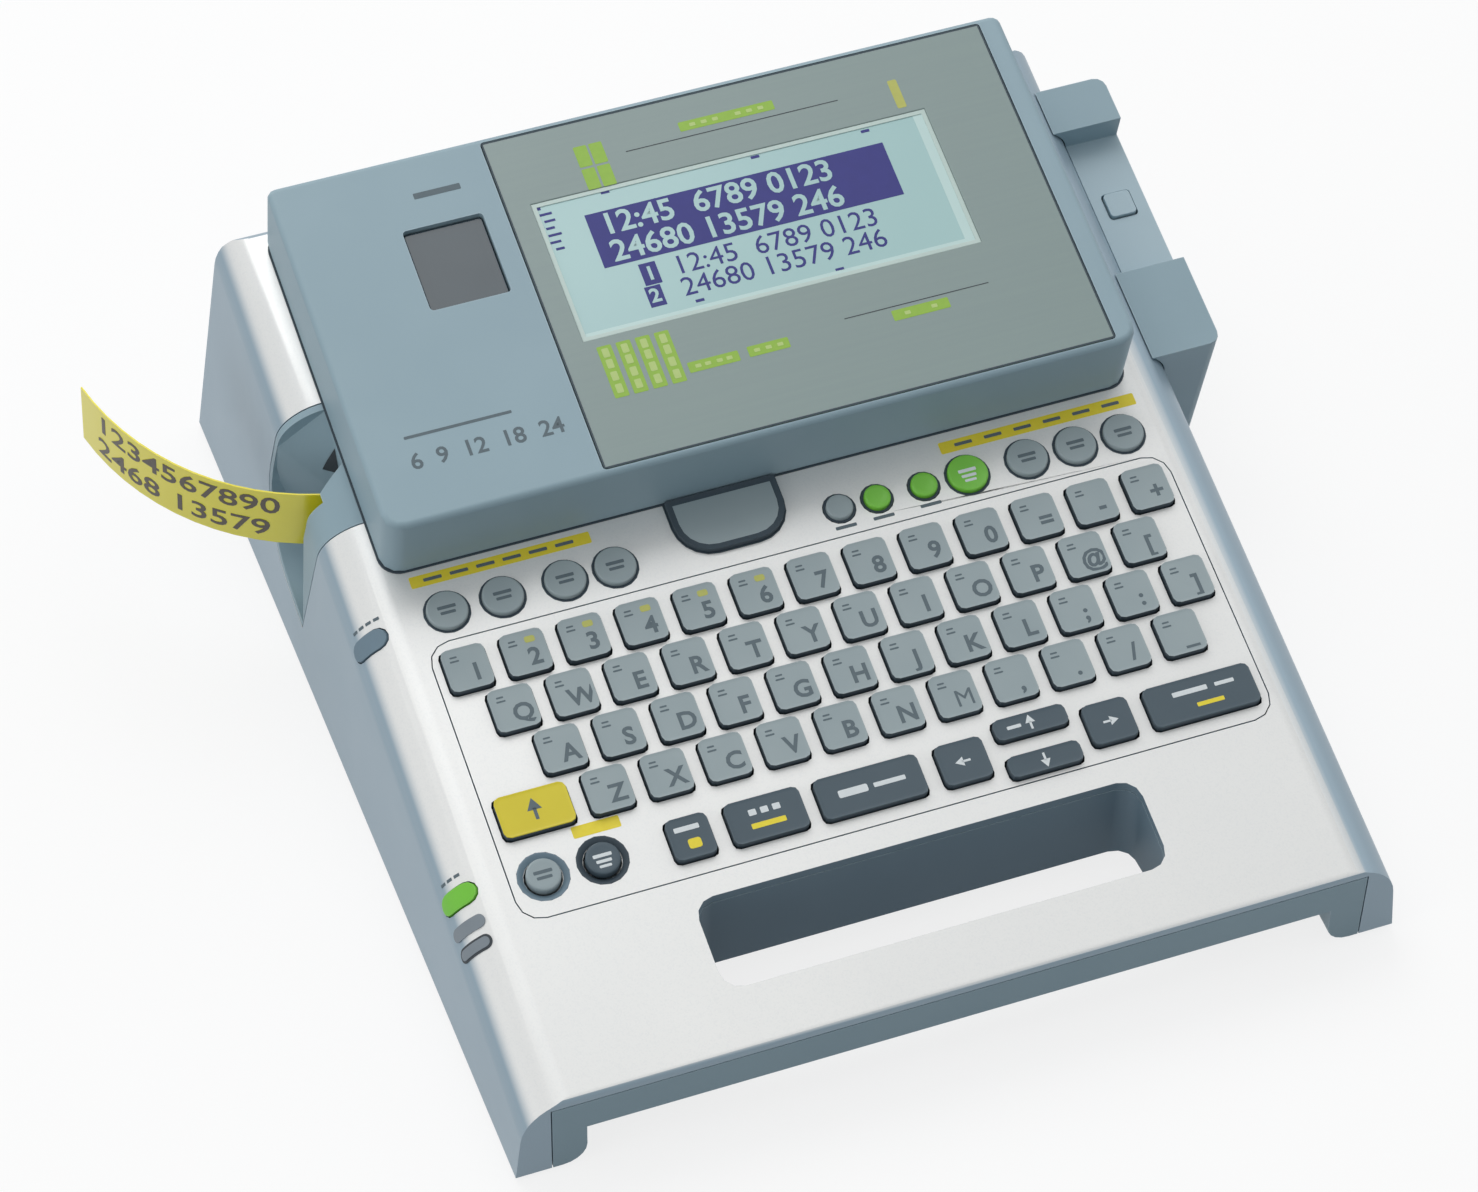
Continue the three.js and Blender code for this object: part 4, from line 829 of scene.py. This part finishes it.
def makeRoundCap(look, radius):
    cap = addDisc(0, 0, radius, look["low"], look["top"], look["steps"])
    chooseFaces(cap, lambda face: face.normal.z > 0.9)
    bpy.ops.mesh.bevel(affect="EDGES", offset=look["edge"] * mm, segments=3)
    leaveEdit()
    chooseFaces(cap, lambda face: face.normal.z > 0.99)
    bpy.ops.mesh.inset(thickness=look["rim"] * mm, depth=-look["dish"] * mm)
    bpy.ops.mesh.inset(
        thickness=0.5 * (radius - look["rim"]) * mm, depth=-look["centre"] * mm
    )
    leaveEdit()
    return cap


def makeRoundButton(node, look, place, radius, finish, slotName, ring=None):
    x, y = keyX(place), look["ringRow"] if ring else look["row"]
    name, body = node.replace("_button", ""), node + "_body"
    cap = makeRoundCap(look, radius)
    cap.name = cap.data.name = name + "Cap"
    cap.data.transform(Matrix.Translation((x * mm, y * mm, 0)))
    dressPiece(cap, node, body, finish, slotName)
    if radius < 4:  # the small ones are bare
        return
    grey = finish == "greyKey"  # two dark bars, and three white ones on the others
    level = look["top"] - look["dish"] - look["centre"]
    legend = addMarks(look["bars"][:2] if grey else look["bars"], level, x, y)
    addTrim(legend, name + "Legend", body, "darkInk" if grey else "whiteInk", "dark_key")


for node, button in roundButtons.items():
    makeRoundButton(node, roundCapLook, *button)
gaps = [
    addRing(
        keyX(place), roundCapLook["row"], radius + roundCapLook["gapInner"],
        radius + roundCapLook["gapOuter"], 0, printDepth,
    )
    for place, radius, finish, slotName, *ring in roundButtons.values()
    if not ring
]
addTrim(gaps, "roundButtonGaps", "printer", "keyWell", "dark_blue_grey")
print("round buttons dressed")

# Dished rings round the two lower buttons

ringLook = {
    "outer": 6.3, "inner": 4.75, "floor": -0.93, "lip": 0.12, "bead": 0.45, "beadDrop": 0.1,
    "innerRise": 0.35, "steps": 48, "smoothBelow": 50,
}


def makeRing(name, x, y, finish, look):
    # a spun profile: up the outer wall, over a soft lip and down the dish
    ring = addPrimitive(bpy.ops.mesh.primitive_plane_add, size=1)
    editAll()
    bpy.ops.mesh.delete(type="ONLY_FACE")
    leaveEdit()
    profile = (  # in the order of the plane's corners
        (look["outer"], look["floor"]),
        (look["inner"], look["floor"] + look["innerRise"]),
        (look["outer"], look["lip"] - look["beadDrop"]),
        (look["outer"] - look["bead"], look["lip"]),
    )
    for vertex, (radius, height) in zip(ring.data.vertices, profile):
        vertex.co = (radius * mm, 0, height * mm)
    editAll()
    bpy.ops.mesh.spin(
        steps=look["steps"], angle=2 * math.pi, center=(0, 0, 0), axis=(0, 0, 1),
        use_auto_merge=True,
    )
    bpy.ops.mesh.select_all(action="SELECT")
    bpy.ops.mesh.remove_doubles(threshold=0.001 * mm)
    leaveClosed()
    ring.name = ring.data.name = name
    ring.data.transform(Matrix.Translation((x * mm, y * mm, 0)))
    smoothFaces(ring, look["smoothBelow"])
    settle(ring, "printer", finish, "dark_blue_grey")


for node, (place, radius, finish, slotName, *ring) in roundButtons.items():
    if ring:
        name = node.replace("_button", "Ring")
        makeRing(name, keyX(place), roundCapLook["ringRow"], ring[0], ringLook)

# Release button

releaseLook = {
    "top": 1.6, "rim": 1.5, "sink": 0.3, "edge": 0.35, "gap": 0.5, "line": 0.42, "face": 100,
}


def makeReleaseButton(look):  # a pale face in a dark rim
    piece = copySolid("release_button", "releaseButton")
    chooseFaces(piece, onTop(look["top"]))
    bpy.ops.mesh.inset(thickness=look["rim"] * mm, depth=-look["sink"] * mm)
    leaveEdit()
    roundEdges(piece, look["edge"])

    def rule(face):
        return face.normal.z <= 0.99 or face.area <= look["face"] * mm * mm

    dressPiece(
        piece, "release_button", "release_button_body", "greyKey", "dark_blue_grey", "keyWell",
        rule,
    )


def makeReleaseGap(look):  # dark line round the button, from the outline of its top
    piece = copySolid("release_button", "releaseGap")
    top = onTop(look["top"])
    chooseFaces(piece, lambda face: not top(face))
    bpy.ops.mesh.delete(type="FACE")
    leaveEdit()
    low, high = corners(piece)
    size, grow = high - low, 2 * look["gap"] * mm
    editAll()
    bpy.ops.transform.resize(
        value=((size.x + grow) / size.x, (size.y + grow) / size.y, 1),
        center_override=(low + high) / 2,
    )
    bpy.ops.transform.translate(value=(0, 0, -high.z))
    leaveEdit()
    thickenFlat(piece, look["line"], printDepth)
    settle(piece, "printer", "keyWell", "dark_blue_grey")


makeReleaseButton(releaseLook)
makeReleaseGap(releaseLook)
dressSolid("power_button", "powerButton", "power_button_body", "greenButton", "green_key")
dressSolid("cut_button", "cutButton", "cut_button_body", "darkBlueGrey", "dark_blue_grey")
dressSolid(
    "trimmer_button", "trimmerButton", "trimmer_button_body", "paleBlueGrey", "blue_grey",
    edge=0.5,
)
print("deck and shoulder buttons dressed")


# Cover

coverLook = {
    "shell": 0.7, "panel": 0.2, "window": 0.25, "glass": 0.15,  # widths of the round edges
    "boardLevel": 13.3, "chipTall": 1.2,
    "chips": ((-30, -12, 184, 202), (0, 26, 206, 213), (0, 12, 184, 196), (40, 62, 190, 199)),
}


def makeCover(look):
    dressSolid("cover_shell", "coverShell", "cover", "blueGrey", "blue_grey", look["shell"])
    dressSolid(
        "display_panel", "displayPanel", "cover", "displayPrint", "display_print", look["panel"]
    )
    dressSolid(  # glass towards the user, a circuit board towards the cassette
        "lcd_module", "lcdModule", "cover", "lcdGlass", "lcd_glass", look["glass"], "boardMask",
        lambda face: face.normal.z < -0.5,
    )
    low, high = look["boardLevel"] - look["chipTall"], look["boardLevel"]
    chips = addPlates(look["chips"], low, high, 0.4, 2)
    addTrim(chips, "displayChips", "cover", "darkKey", "dark_key")
    dressSolid(
        "tape_window", "tapeWindow", "cover", "smokedWindow", "smoked_window", look["window"]
    )


makeCover(coverLook)

# Painted shadow: a thin dark frame on the deck, round the seat of the cover, where the cover's edge
# shades the deck

seatLook = {
    "left": -98.0, "right": 96.1, "front": 141.75, "back": 243.1, "corner": 5.4, "width": 1.6,
    "height": 0.25,
}
shadowLine = addFrame(seatLook, 0, seatLook["height"])
addTrim([shadowLine], "coverSeal", "printer", "keyWell", "rubber")

# Ribs inside the cover: across it, clear of the window, and one along its left wall

ribLook = {
    "across": (152.0, 172.0, 228.0), "left": -92.0, "right": -42.0, "along": (152.0, 229.0),
    "low": 15.6, "high": 18.7, "thick": 1.4,
}


def makeCoverRibs(look):
    left, thick = look["left"], look["thick"]
    places = [(left, look["right"], front, front + thick) for front in look["across"]]
    places.append((left, left + thick, *look["along"]))
    ribs = addPlates(places, look["low"], look["high"], 0.3, 2)
    addTrim(ribs, "coverRibs", "cover", "blueGrey", "blue_grey")


makeCoverRibs(ribLook)
print("cover dressed")

# The display: a pale rim that closes its joint, a lit edge, a dark band with plain figures, and
# two lines of figures under it

screenLevel = 21.4
rimLook = {
    "left": -36.25, "right": 67.45, "front": 179.25, "back": 220.45, "corner": 0, "width": 1.15,
    "top": 21.62, "edge": 0.08,
}
rim = addFrame(rimLook, screenLevel, rimLook["top"])
roundEdges(rim, rimLook["edge"], 2)
addTrim([rim], "screenRim", "cover", "rimPale", "lcd_glass")
lineOne, lineTwo = "12:45  6789 0123", "24680 13579 246"
scale = [
    (-33.6 + 0.5 * (row % 2), 217 - 2.1 * row, 3.4 - 0.6 * (row % 3), 0.7, 0) for row in range(6)
]
ticks = (
    (-17.4, 219.1), (21.8, 218.7), (50.9, 218.4), (-35.3, 218.9), (-5, 182.8), (31, 181.7),
)
screenPrints = {
    "screenGlow": (
        "cover", "lcdEdge", "lcd_glass", screenLevel,
        [(65.15, 199.85, 2.5, 39.1, 0), (14.35, 180.85, 99.1, 1.1, 0)],
    ),
    "screenBand": (
        "cover", "navyInk", "lcd_glass", screenLevel,
        [(14.7, 206, 78.4, 16, 0), (-14.25, 193.5, 4.3, 6.4, 0), (-15.05, 187, 4.1, 6, 0)],
    ),
    "screenBandText": (
        "cover", "lcdGlass", "lcd_glass", screenLevel + printDepth, [],
        (lineOne, 8.6, -21.5, 209.8, 0.16, "LEFT"), (lineTwo, 8.6, -21.5, 201.8, 0.16, "LEFT"),
        ("1", 5.4, -14.2, 193.4, 0.15), ("2", 5.4, -15.1, 187.0, 0.15),
    ),
    "screenFigures": (
        "cover", "navyInk", "lcd_glass", screenLevel,
        scale + [(x, y, 2.2, 0.8, 0) for x, y in ticks],
        (lineOne, 7.6, -8.2, 193.6, 0, "LEFT"), (lineTwo, 7.6, -8.2, 187.2, 0, "LEFT"),
    ),
}
printAll(screenPrints)

# Printed marks on the display panel, and the dark joint round it

panelLevel = 21.8
jointLook = {
    "left": -42.6, "right": 89.5, "front": 144.0, "back": 240.9, "corner": 0.3, "width": 0.4,
}
joint = addFrame(jointLook, panelLevel, panelLevel + printDepth)
addTrim([joint], "panelJoint", "cover", "keyWell", "dark_blue_grey")
panes = [(x, y, 3.4, 6.2, 0.3) for x in (-19.45, -15.45) for y in (223.6, 230.4)]
columns = [-32.0 + 4.9 * index for index in range(4)]
columnBits = [(x, 169.3 + up, 1.7, 2.6, 0.3) for x in columns for up in (-5.0, -1.4, 2.2, 5.4)]
barBits = (
    (18.8, 232, (-9, -6, -3, 3, 6, 9)), (-7.6, 165, (-4, -1.5, 1.5, 4)), (6.6, 165.2, (-3, 0, 3)),
    (46.2, 165, (-3.5, 3.5)),
)
panelPrints = {
    "panelGreenMarks": (
        "cover", "greenInk", "display_print", panelLevel,
        panes + [(18.8, 232, 25, 2.8, 0.3)] + [(x, 169.3, 3.7, 15.0, 0.3) for x in columns]
        + [(-7.6, 165, 13.0, 3.0, 0.3), (6.6, 165.2, 10.6, 3.0, 0.3), (46.2, 165, 14.8, 3.0, 0.3)],
    ),
    "panelGreenBits": (
        "cover", "paleGreenInk", "display_print", panelLevel + printDepth,
        columnBits + [(x + right, y, 1.5, 1.0) for x, y, shifts in barBits for right in shifts],
    ),
    "panelThinLines": (
        "cover", "blackInk", "display_print", panelLevel,
        [(19.3, 228.8, 56, 0.25, 0), (46, 167.6, 37.8, 0.25, 0)],
    ),
    "panelYellowMark": (
        "cover", "paleYellowInk", "display_print", panelLevel, [(62.3, 226.5, 2.4, 8.6, 0.4)],
    ),
    "coverFigures": (
        "cover", "darkInk", "dark_key", panelLevel,
        [(-72.5, 165.5, 27, 0.8), (-57.2, 230.6, 12, 1.7)],
        ("6  9  12  18  24", 6.2, -86.5, 158.5, 0.1, "LEFT"),
    ),
}
printAll(panelPrints)
print("display printed")

# Printed strips on the deck, rows of dashes on two of them, and ticks at the small buttons

dashes = [
    (left + (right - left) * (index + 0.5) / 6, row, 4.6, 0.9)
    for left, right, row in ((-90, -50, 138.6), (46, 93, 137.7))
    for index in range(6)
]
buttons = roundButtons.values()
deckPrints = {
    "deckStrips": (
        "printer", "yellowInk", "yellow_key", 0,
        [(-69.5, 138.6, 45.6, 3.2, 0.4, 3), (69.65, 137.65, 51.9, 3.3, 0.4, 3)],
    ),
    "deckStripTicks": ("printer", "darkInk", "dark_key", printDepth, dashes),
    "ringStrip": ("printer", "yellowInk", "yellow_key", 0, [(-70, 64.05, 11.8, 3.1, 0.4, 3)]),
    "deckTicks": (
        "printer", "darkInk", "dark_key", 0,
        [(keyX(place), 123.6, 5.4, 0.9) for place, radius, *rest in buttons if radius < 4],
    ),
}
printAll(deckPrints)
print("deck printed")


# Marks on the left shoulder: they are made flat, cut into strips and laid round the roll

shoulderLook = {
    "centre": (-97.2, -12.5), "radius": 12.5, "tilt": 46, "cut": 0.8, "steps": 5,
    "tickRows": ((62.6, 3), (132.4, 4)), "tickX": -2.6, "tickPitch": 2.3,
    "tick": (1.6, 0.8, 0.1),
}
shoulderMarks = {  # place along the shoulder, width, depth, height, finish
    "lampPill": (49.6, 10.4, 3.4, 0.25, "lampGrey"),
    "outerPill": (44.2, 10.4, 3.8, 0.12, "blackInk"),
    "innerPill": (44.2, 9.2, 2.6, 0.26, "lampGrey"),
}


def cutInStrips(piece, start, end, step):
    pick(piece)
    bpy.ops.object.mode_set(mode="EDIT")
    for index in range(1, int((end - start) / step)):
        bpy.ops.mesh.select_all(action="SELECT")
        bpy.ops.mesh.bisect(plane_co=((start + index * step) * mm, 0, 0), plane_no=(1, 0, 0))
    leaveEdit()


def wrapOnShoulder(piece, look):
    for vertex in piece.data.vertices:
        angle = math.radians(look["tilt"]) - vertex.co.x / mm / look["radius"]
        reach = look["radius"] + vertex.co.z / mm
        x = look["centre"][0] - reach * math.sin(angle)
        z = look["centre"][1] + reach * math.cos(angle)
        vertex.co = (x * mm, vertex.co.y, z * mm)


def markShoulder(look):
    for name, (along, wide, deep, tall, finish) in shoulderMarks.items():
        half = wide / 2
        pill = addPlate(
            -half, half, along - deep / 2, along + deep / 2, 0, tall, deep * 0.49, look["steps"]
        )
        cutInStrips(pill, -half, half, look["cut"])
        wrapOnShoulder(pill, look)
        smoothFaces(pill)
        addTrim([pill], name, "printer", finish, "dark_blue_grey")
    ticks = [
        (look["tickX"] + look["tickPitch"] * index, along, *look["tick"])
        for along, count in look["tickRows"]
        for index in range(count)
    ]
    joined = joinPieces(addMarks(ticks, 0), "shoulderTicks")
    wrapOnShoulder(joined, look)
    settle(joined, "printer", "darkInk", "dark_blue_grey")


markShoulder(shoulderLook)
print("shoulder marked")

# Tape, its exit and the housing on the right

dressSolid("tape_exit_bezel", "exitBezel", "printer", "blueGrey", "blue_grey", edge=0.5)

# Painted shade: a black sheet for the dark throat where the recess runs in under the cover, on the
# sloping back of the recess

throatLook = {
    "corners": (  # in the order of the plane's corners
        (-97.05, 180.4, -14), (-97.05, 184.5, -8.5), (-100.6, 182.9, -14.2),
        (-99.3, 183.6, -11.9),
    ),
    "outwards": (-187.5, -254.0, 190.5), "lift": 0.02, "thick": 0.08,
}


def makeThroat(look):
    piece = addPrimitive(bpy.ops.mesh.primitive_plane_add, size=1)
    for vertex, corner in zip(piece.data.vertices, look["corners"]):
        vertex.co = Vector(corner) * mm
    outwards = Vector(look["outwards"]).normalized()
    editAll()
    bpy.ops.transform.translate(value=outwards * look["lift"] * mm)
    extrudeBy(outwards * look["thick"] * mm)
    leaveClosed()
    addTrim([piece], "exitThroat", "printer", "blackInk", "dark_blue_grey")


makeThroat(throatLook)

housingLook = {"edge": 0.8, "shelf": -10}  # the sunk shelf is painted paler: painted light where the cover would shade it
dressSolid(
    "side_housing", "sideHousing", "printer", "blueGrey", "blue_grey", housingLook["edge"],
    "paleBlueGrey",
    lambda face: face.normal.z > 0.99 and abs(face.center.z / mm - housingLook["shelf"]) < 1,
)

tapeLook = {
    "centre": (-89.0, 234.7), "radius": 65.5, "thickness": 0.4, "middle": -17.0,
    "rows": (("1234567890", 5.4), ("2468 13579", -5.6)), "size": 10.5, "bold": 0.12, "x": 2,
    "start": 80.0, "cut": 2.0, "cutTo": 120,
}


def makeTape(look):  # yellow print side, pale backing on the inner side of the curl
    middle = Vector(look["centre"]) * mm

    def inner(face):
        inwards = middle - face.center.xy
        if face.center.x > middle.x:
            return face.normal.y > 0.5
        return face.normal.xy.dot(inwards) > 0.5 * inwards.length

    dressSolid(
        "printed_tape", "printedTape", "printer", "labelTape", "label_tape", edge=0,
        second="tapeBacking", rule=inner,
    )


def wrapOnTape(piece, look):
    # x of the flat print runs along the tape towards the exit, y is height on the tape
    outside = look["radius"] + look["thickness"] / 2
    for vertex in piece.data.vertices:
        along = look["start"] - vertex.co.x / mm
        angle = max(along, 0) / look["radius"]
        reach = outside + vertex.co.z / mm
        x = look["centre"][0] - reach * math.sin(angle) - min(along, 0)
        y = look["centre"][1] - reach * math.cos(angle)
        vertex.co = (x * mm, y * mm, vertex.co.y + look["middle"] * mm)


def printTape(look):
    rows = [
        addText(words, look["size"], look["x"], y, 0, look["bold"], "LEFT")
        for words, y in look["rows"]
    ]
    figures = joinPieces(rows, "tapeFigures")
    cutInStrips(figures, 0, look["cutTo"], look["cut"])
    wrapOnTape(figures, look)
    settle(figures, "printer", "tapeInk", "label_tape")


makeTape(tapeLook)
printTape(tapeLook)
print("tape printed")


# Inner solids keep their shapes and get their finishes

innerFinishes = {
    "battery_pack": "cellWrap", "key_mat": "lightGrey", "main_board": "boardMask",
    "hinge_pin_left": "steel", "hinge_pin_right": "steel", "cassette_bay": "lightGrey",
    "tape_cassette": "darkBlueGrey", "print_head": "steel", "feed_motor": "steel",
    "platen_roller": "rubberGrip", "platen_gear": "lightGrey", "motor_pinion": "steel",
    "tape_spool": "lightGrey", "ribbon_spool": "darkKey", "cutter_blade": "steel",
}
for node, finish in innerFinishes.items():
    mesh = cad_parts[node].data
    mesh.materials.clear()
    mesh.materials.append(finishes[finish])
print("inner solids finished")

# Dress of the tape cassette: a plain label, two windows over the rolls and ribs to hold it by

cassetteLook = {
    "top": -2.2, "label": (-62, -22, 170, 186), "labelTall": 0.12, "labelCorner": (1.5, 4),
    "stripe": (-62, -22, 172, 175), "stripeTall": 0.16, "stripeCorner": (0.2, 2),
    "windows": ((-40, 196), (-66, 210)), "steps": 40,
    "rim": (5.2, 6.4, 0.5), "pane": (0.8, 5.2, 0.15),  # inner and outer radius, height
    "ribs": 5, "ribX": (-74, -64.4), "ribFront": 166, "ribPitch": 3.2, "rib": 1.3, "ribTall": 0.7,
}


def addRibs(look, low, high):
    fronts = [look["ribFront"] + index * look["ribPitch"] for index in range(look["ribs"])]
    places = [(*look["ribX"], front, front + look["rib"]) for front in fronts]
    return addPlates(places, low, high, look.get("ribCorner", 0.4))


def dressCassette(look):
    low = look["top"]
    middle = low + look["labelTall"]
    label = addPlate(*look["label"], low, middle, *look["labelCorner"])
    addTrim([label], "cassetteLabel", "printer", "tapeBacking", "label_tape")
    high = low + look["stripeTall"]
    stripe = addPlate(*look["stripe"], middle, high, *look["stripeCorner"])
    addTrim([stripe], "cassetteStripe", "printer", "yellowInk", "label_tape")
    raised, panes = [], []
    for x, y in look["windows"]:
        for (inner, outer, tall), group in ((look["rim"], raised), (look["pane"], panes)):
            group.append(addRing(x, y, inner, outer, low, low + tall, look["steps"]))
    raised += addRibs(look, low, low + look["ribTall"])
    addTrim(raised, "cassetteRibs", "printer", "darkKey", "dark_blue_grey")
    addTrim(panes, "cassetteWindows", "printer", "smokedWindow", "smoked_window")


dressCassette(cassetteLook)

# Underside: screws, a plain plate, and the grip of the battery door, in the desk's own frame

undersideLook = {
    "level": 1.2, "screw": 3.1, "screwTall": 0.5, "screwEdge": 0.15, "recess": 0.2,
    "screws": ((-92, 48), (92, 48), (-92, 205), (96, 205), (-60, 120), (60, 120)),
    "steps": 32, "well": (0.05, 0.6),
    "plate": (-38, 30, 84, 112), "plateTall": 0.15, "plateCorner": (2, 5),
    "ribs": 6, "ribX": (-6, 48), "ribFront": 150, "ribPitch": 2.6, "rib": 1.2, "ribCorner": 0.5,
    "ribLevels": (1.15, 1.5), "arrow": (21, 180, 1.44, 90, 14),
}


def addScrew(x, y, look):
    tall, radius = look["screwTall"] / 2, look["screw"]
    screw = addDisc(x, y, radius, look["level"] - tall, look["level"] + tall, look["steps"])
    chooseFaces(screw, lambda face: face.normal.z < -0.9)
    bpy.ops.mesh.bevel(affect="EDGES", offset=look["screwEdge"] * mm, segments=2)
    leaveEdit()
    chooseFaces(screw, lambda face: face.normal.z < -0.99)
    bpy.ops.mesh.inset(thickness=radius * 0.5 * mm)
    extrudeBy((0, 0, look["recess"] * mm))
    leaveEdit()
    return screw


def dressUnderside(look):
    level = look["level"]
    screws = joinPieces([addScrew(x, y, look) for x, y in look["screws"]], "baseScrews")
    smoothFaces(screws)
    settle(screws, "printer", "steel", "steel", turn=deskTurn)
    inner, outer = [look["screw"] + gap for gap in look["well"]]
    low, steps = level - printDepth, look["steps"]
    wells = [addRing(x, y, inner, outer, low, level, steps) for x, y in look["screws"]]
    addTrim(wells, "screwWells", "printer", "keyWell", "dark_blue_grey", deskTurn)
    plate = addPlate(*look["plate"], level - look["plateTall"], level, *look["plateCorner"])
    addTrim([plate], "bareRatingPlate", "printer", "tapeBacking", "light_grey", deskTurn)
    ribs = addRibs(look, *look["ribLevels"])
    addTrim(ribs, "batteryDoorGrip", "battery_cover", "blueGrey", "blue_grey", deskTurn)
    arrow = addArrow(*look["arrow"])
    addTrim([arrow], "batteryDoorArrow", "battery_cover", "darkInk", "dark_blue_grey", deskTurn)


dressUnderside(undersideLook)

# Back wall: a row of cooling slots and a round low-voltage socket

backLook = {
    "slots": 9, "pitch": 5, "slotX": -78, "slot": (-6, 2, 15, 0.9, 4), "socket": (70, -8),
    "radius": 5.2, "bore": 2.8, "tall": 0.7, "edge": 0.25,
    "pin": 0.7, "pinTall": 0.6, "pinEdge": 0.15, "pinSteps": 24, "pinGap": 0.1, "boreGap": 0.05,
}


def wallPlace(node, way):  # a placing for flat pieces, on the middle of a node's wall
    faces = [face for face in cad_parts[node].data.polygons if face.normal.dot(way) > 0.9]
    largest = max(faces, key=lambda face: face.area)
    wall = [face for face in faces if face.normal.dot(largest.normal) > 0.9999]
    whole = sum(face.area for face in wall)
    middle = sum((face.center * face.area for face in wall), Vector()) / whole
    side = Vector((0, 0, 1)).cross(largest.normal).normalized()
    rise = largest.normal.cross(side)
    turn = Matrix((side, rise, largest.normal)).transposed().to_4x4()
    return Matrix.Translation(middle) @ turn


def dressBack(look):
    place = wallPlace("top_case", Vector((0, 1, 0)))
    slots = [
        (look["slotX"] + index * look["pitch"], *look["slot"]) for index in range(look["slots"])
    ]
    # painted shade: the slots are flat marks in the dark well finish, not openings
    addTrim(addMarks(slots, 0), "coolingSlots", "printer", "keyWell", "dark_blue_grey", place)
    x, y = look["socket"]
    socket = addRing(x, y, look["bore"], look["radius"], 0, look["tall"])
    roundEdges(socket, look["edge"])
    smoothFaces(socket)
    addTrim([socket], "socketRing", "printer", "darkKey", "dark_key", place)
    inner, outer = look["pin"] + look["pinGap"], look["bore"] - look["boreGap"]
    bore = addRing(x, y, inner, outer, 0, printDepth)
    addTrim([bore], "socketBore", "printer", "blackInk", "dark_key", place)
    pin = addDisc(x, y, look["pin"], 0, look["pinTall"], look["pinSteps"])
    roundEdges(pin, look["pinEdge"], 2)
    smoothFaces(pin)
    addTrim([pin], "socketPin", "printer", "steel", "steel", place)


dressBack(backLook)
print("cassette, underside and back dressed")


# Floor and surroundings

floorLook = {
    "size": 6, "seen": (252, 252, 252), "lit": (150, 156, 162), "glow": 0.8, "roughness": 0.9,
}


def seenStraight(tree):  # 1 for rays from the camera and through gloss or glass
    path = addNode(tree, "ShaderNodeLightPath").outputs
    direct = calculate(tree, "MAXIMUM", path["Is Camera Ray"], path["Is Glossy Ray"])
    return calculate(tree, "MAXIMUM", direct, path["Is Transmission Ray"])


def makeFloor(look):
    floor = addPrimitive(bpy.ops.mesh.primitive_plane_add, size=look["size"])
    floor.name = "floor"
    material, tree, shader = startMaterial("floorPaper")
    seen = seenStraight(tree)
    colour = mixColours(tree, seen, paint(*look["lit"]), paint(*look["seen"]))
    setSockets(
        tree, shader,
        {"Base Color": colour, "Roughness": look["roughness"], "Specular IOR Level": 0},
    )
    paper = addNode(tree, "ShaderNodeEmission", {"Strength": 1.0})
    share = calculate(tree, "MULTIPLY", seen, look["glow"])
    sockets = {0: share, 1: shader.outputs[0], 2: paper.outputs[0]}
    both = addNode(tree, "ShaderNodeMixShader", sockets)
    tree.links.new(both.outputs[0], tree.nodes["Material Output"].inputs["Surface"])
    floor.data.materials.append(material)


makeFloor(floorLook)

worldLook = {
    "light": 0.64, "low": 0.2, "backdrop": 1.0, "from": -0.6, "to": 0.9,
    "brightSide": (-0.1, 0.5, 0.86),
    "highColour": (1, 1, 1, 1), "lowColour": (0.82, 0.93, 1, 1),
}


def makeWorld(look):
    world = bpy.data.worlds.new("studio")
    bpy.context.scene.world = world
    world.use_nodes = True
    tree = world.node_tree
    tree.nodes.clear()
    direction = addNode(tree, "ShaderNodeTexCoord").outputs["Generated"]
    side = dotProduct(tree, direction, look["brightSide"])
    level = mapRange(tree, side, look["from"], look["to"], look["low"], look["light"])
    share = mapRange(tree, side, look["from"], look["to"])
    sky = mixColours(tree, share, look["lowColour"], look["highColour"])
    soft = addNode(tree, "ShaderNodeBackground", {"Color": sky, "Strength": level})
    sockets = {"Color": (1, 1, 1, 1), "Strength": look["backdrop"]}
    white = addNode(tree, "ShaderNodeBackground", sockets)
    sockets = {0: seenStraight(tree), 1: soft.outputs[0], 2: white.outputs[0]}
    mix = addNode(tree, "ShaderNodeMixShader", sockets)
    addNode(tree, "ShaderNodeOutputWorld", {"Surface": mix.outputs[0]})


makeWorld(worldLook)
print("floor and light ready")
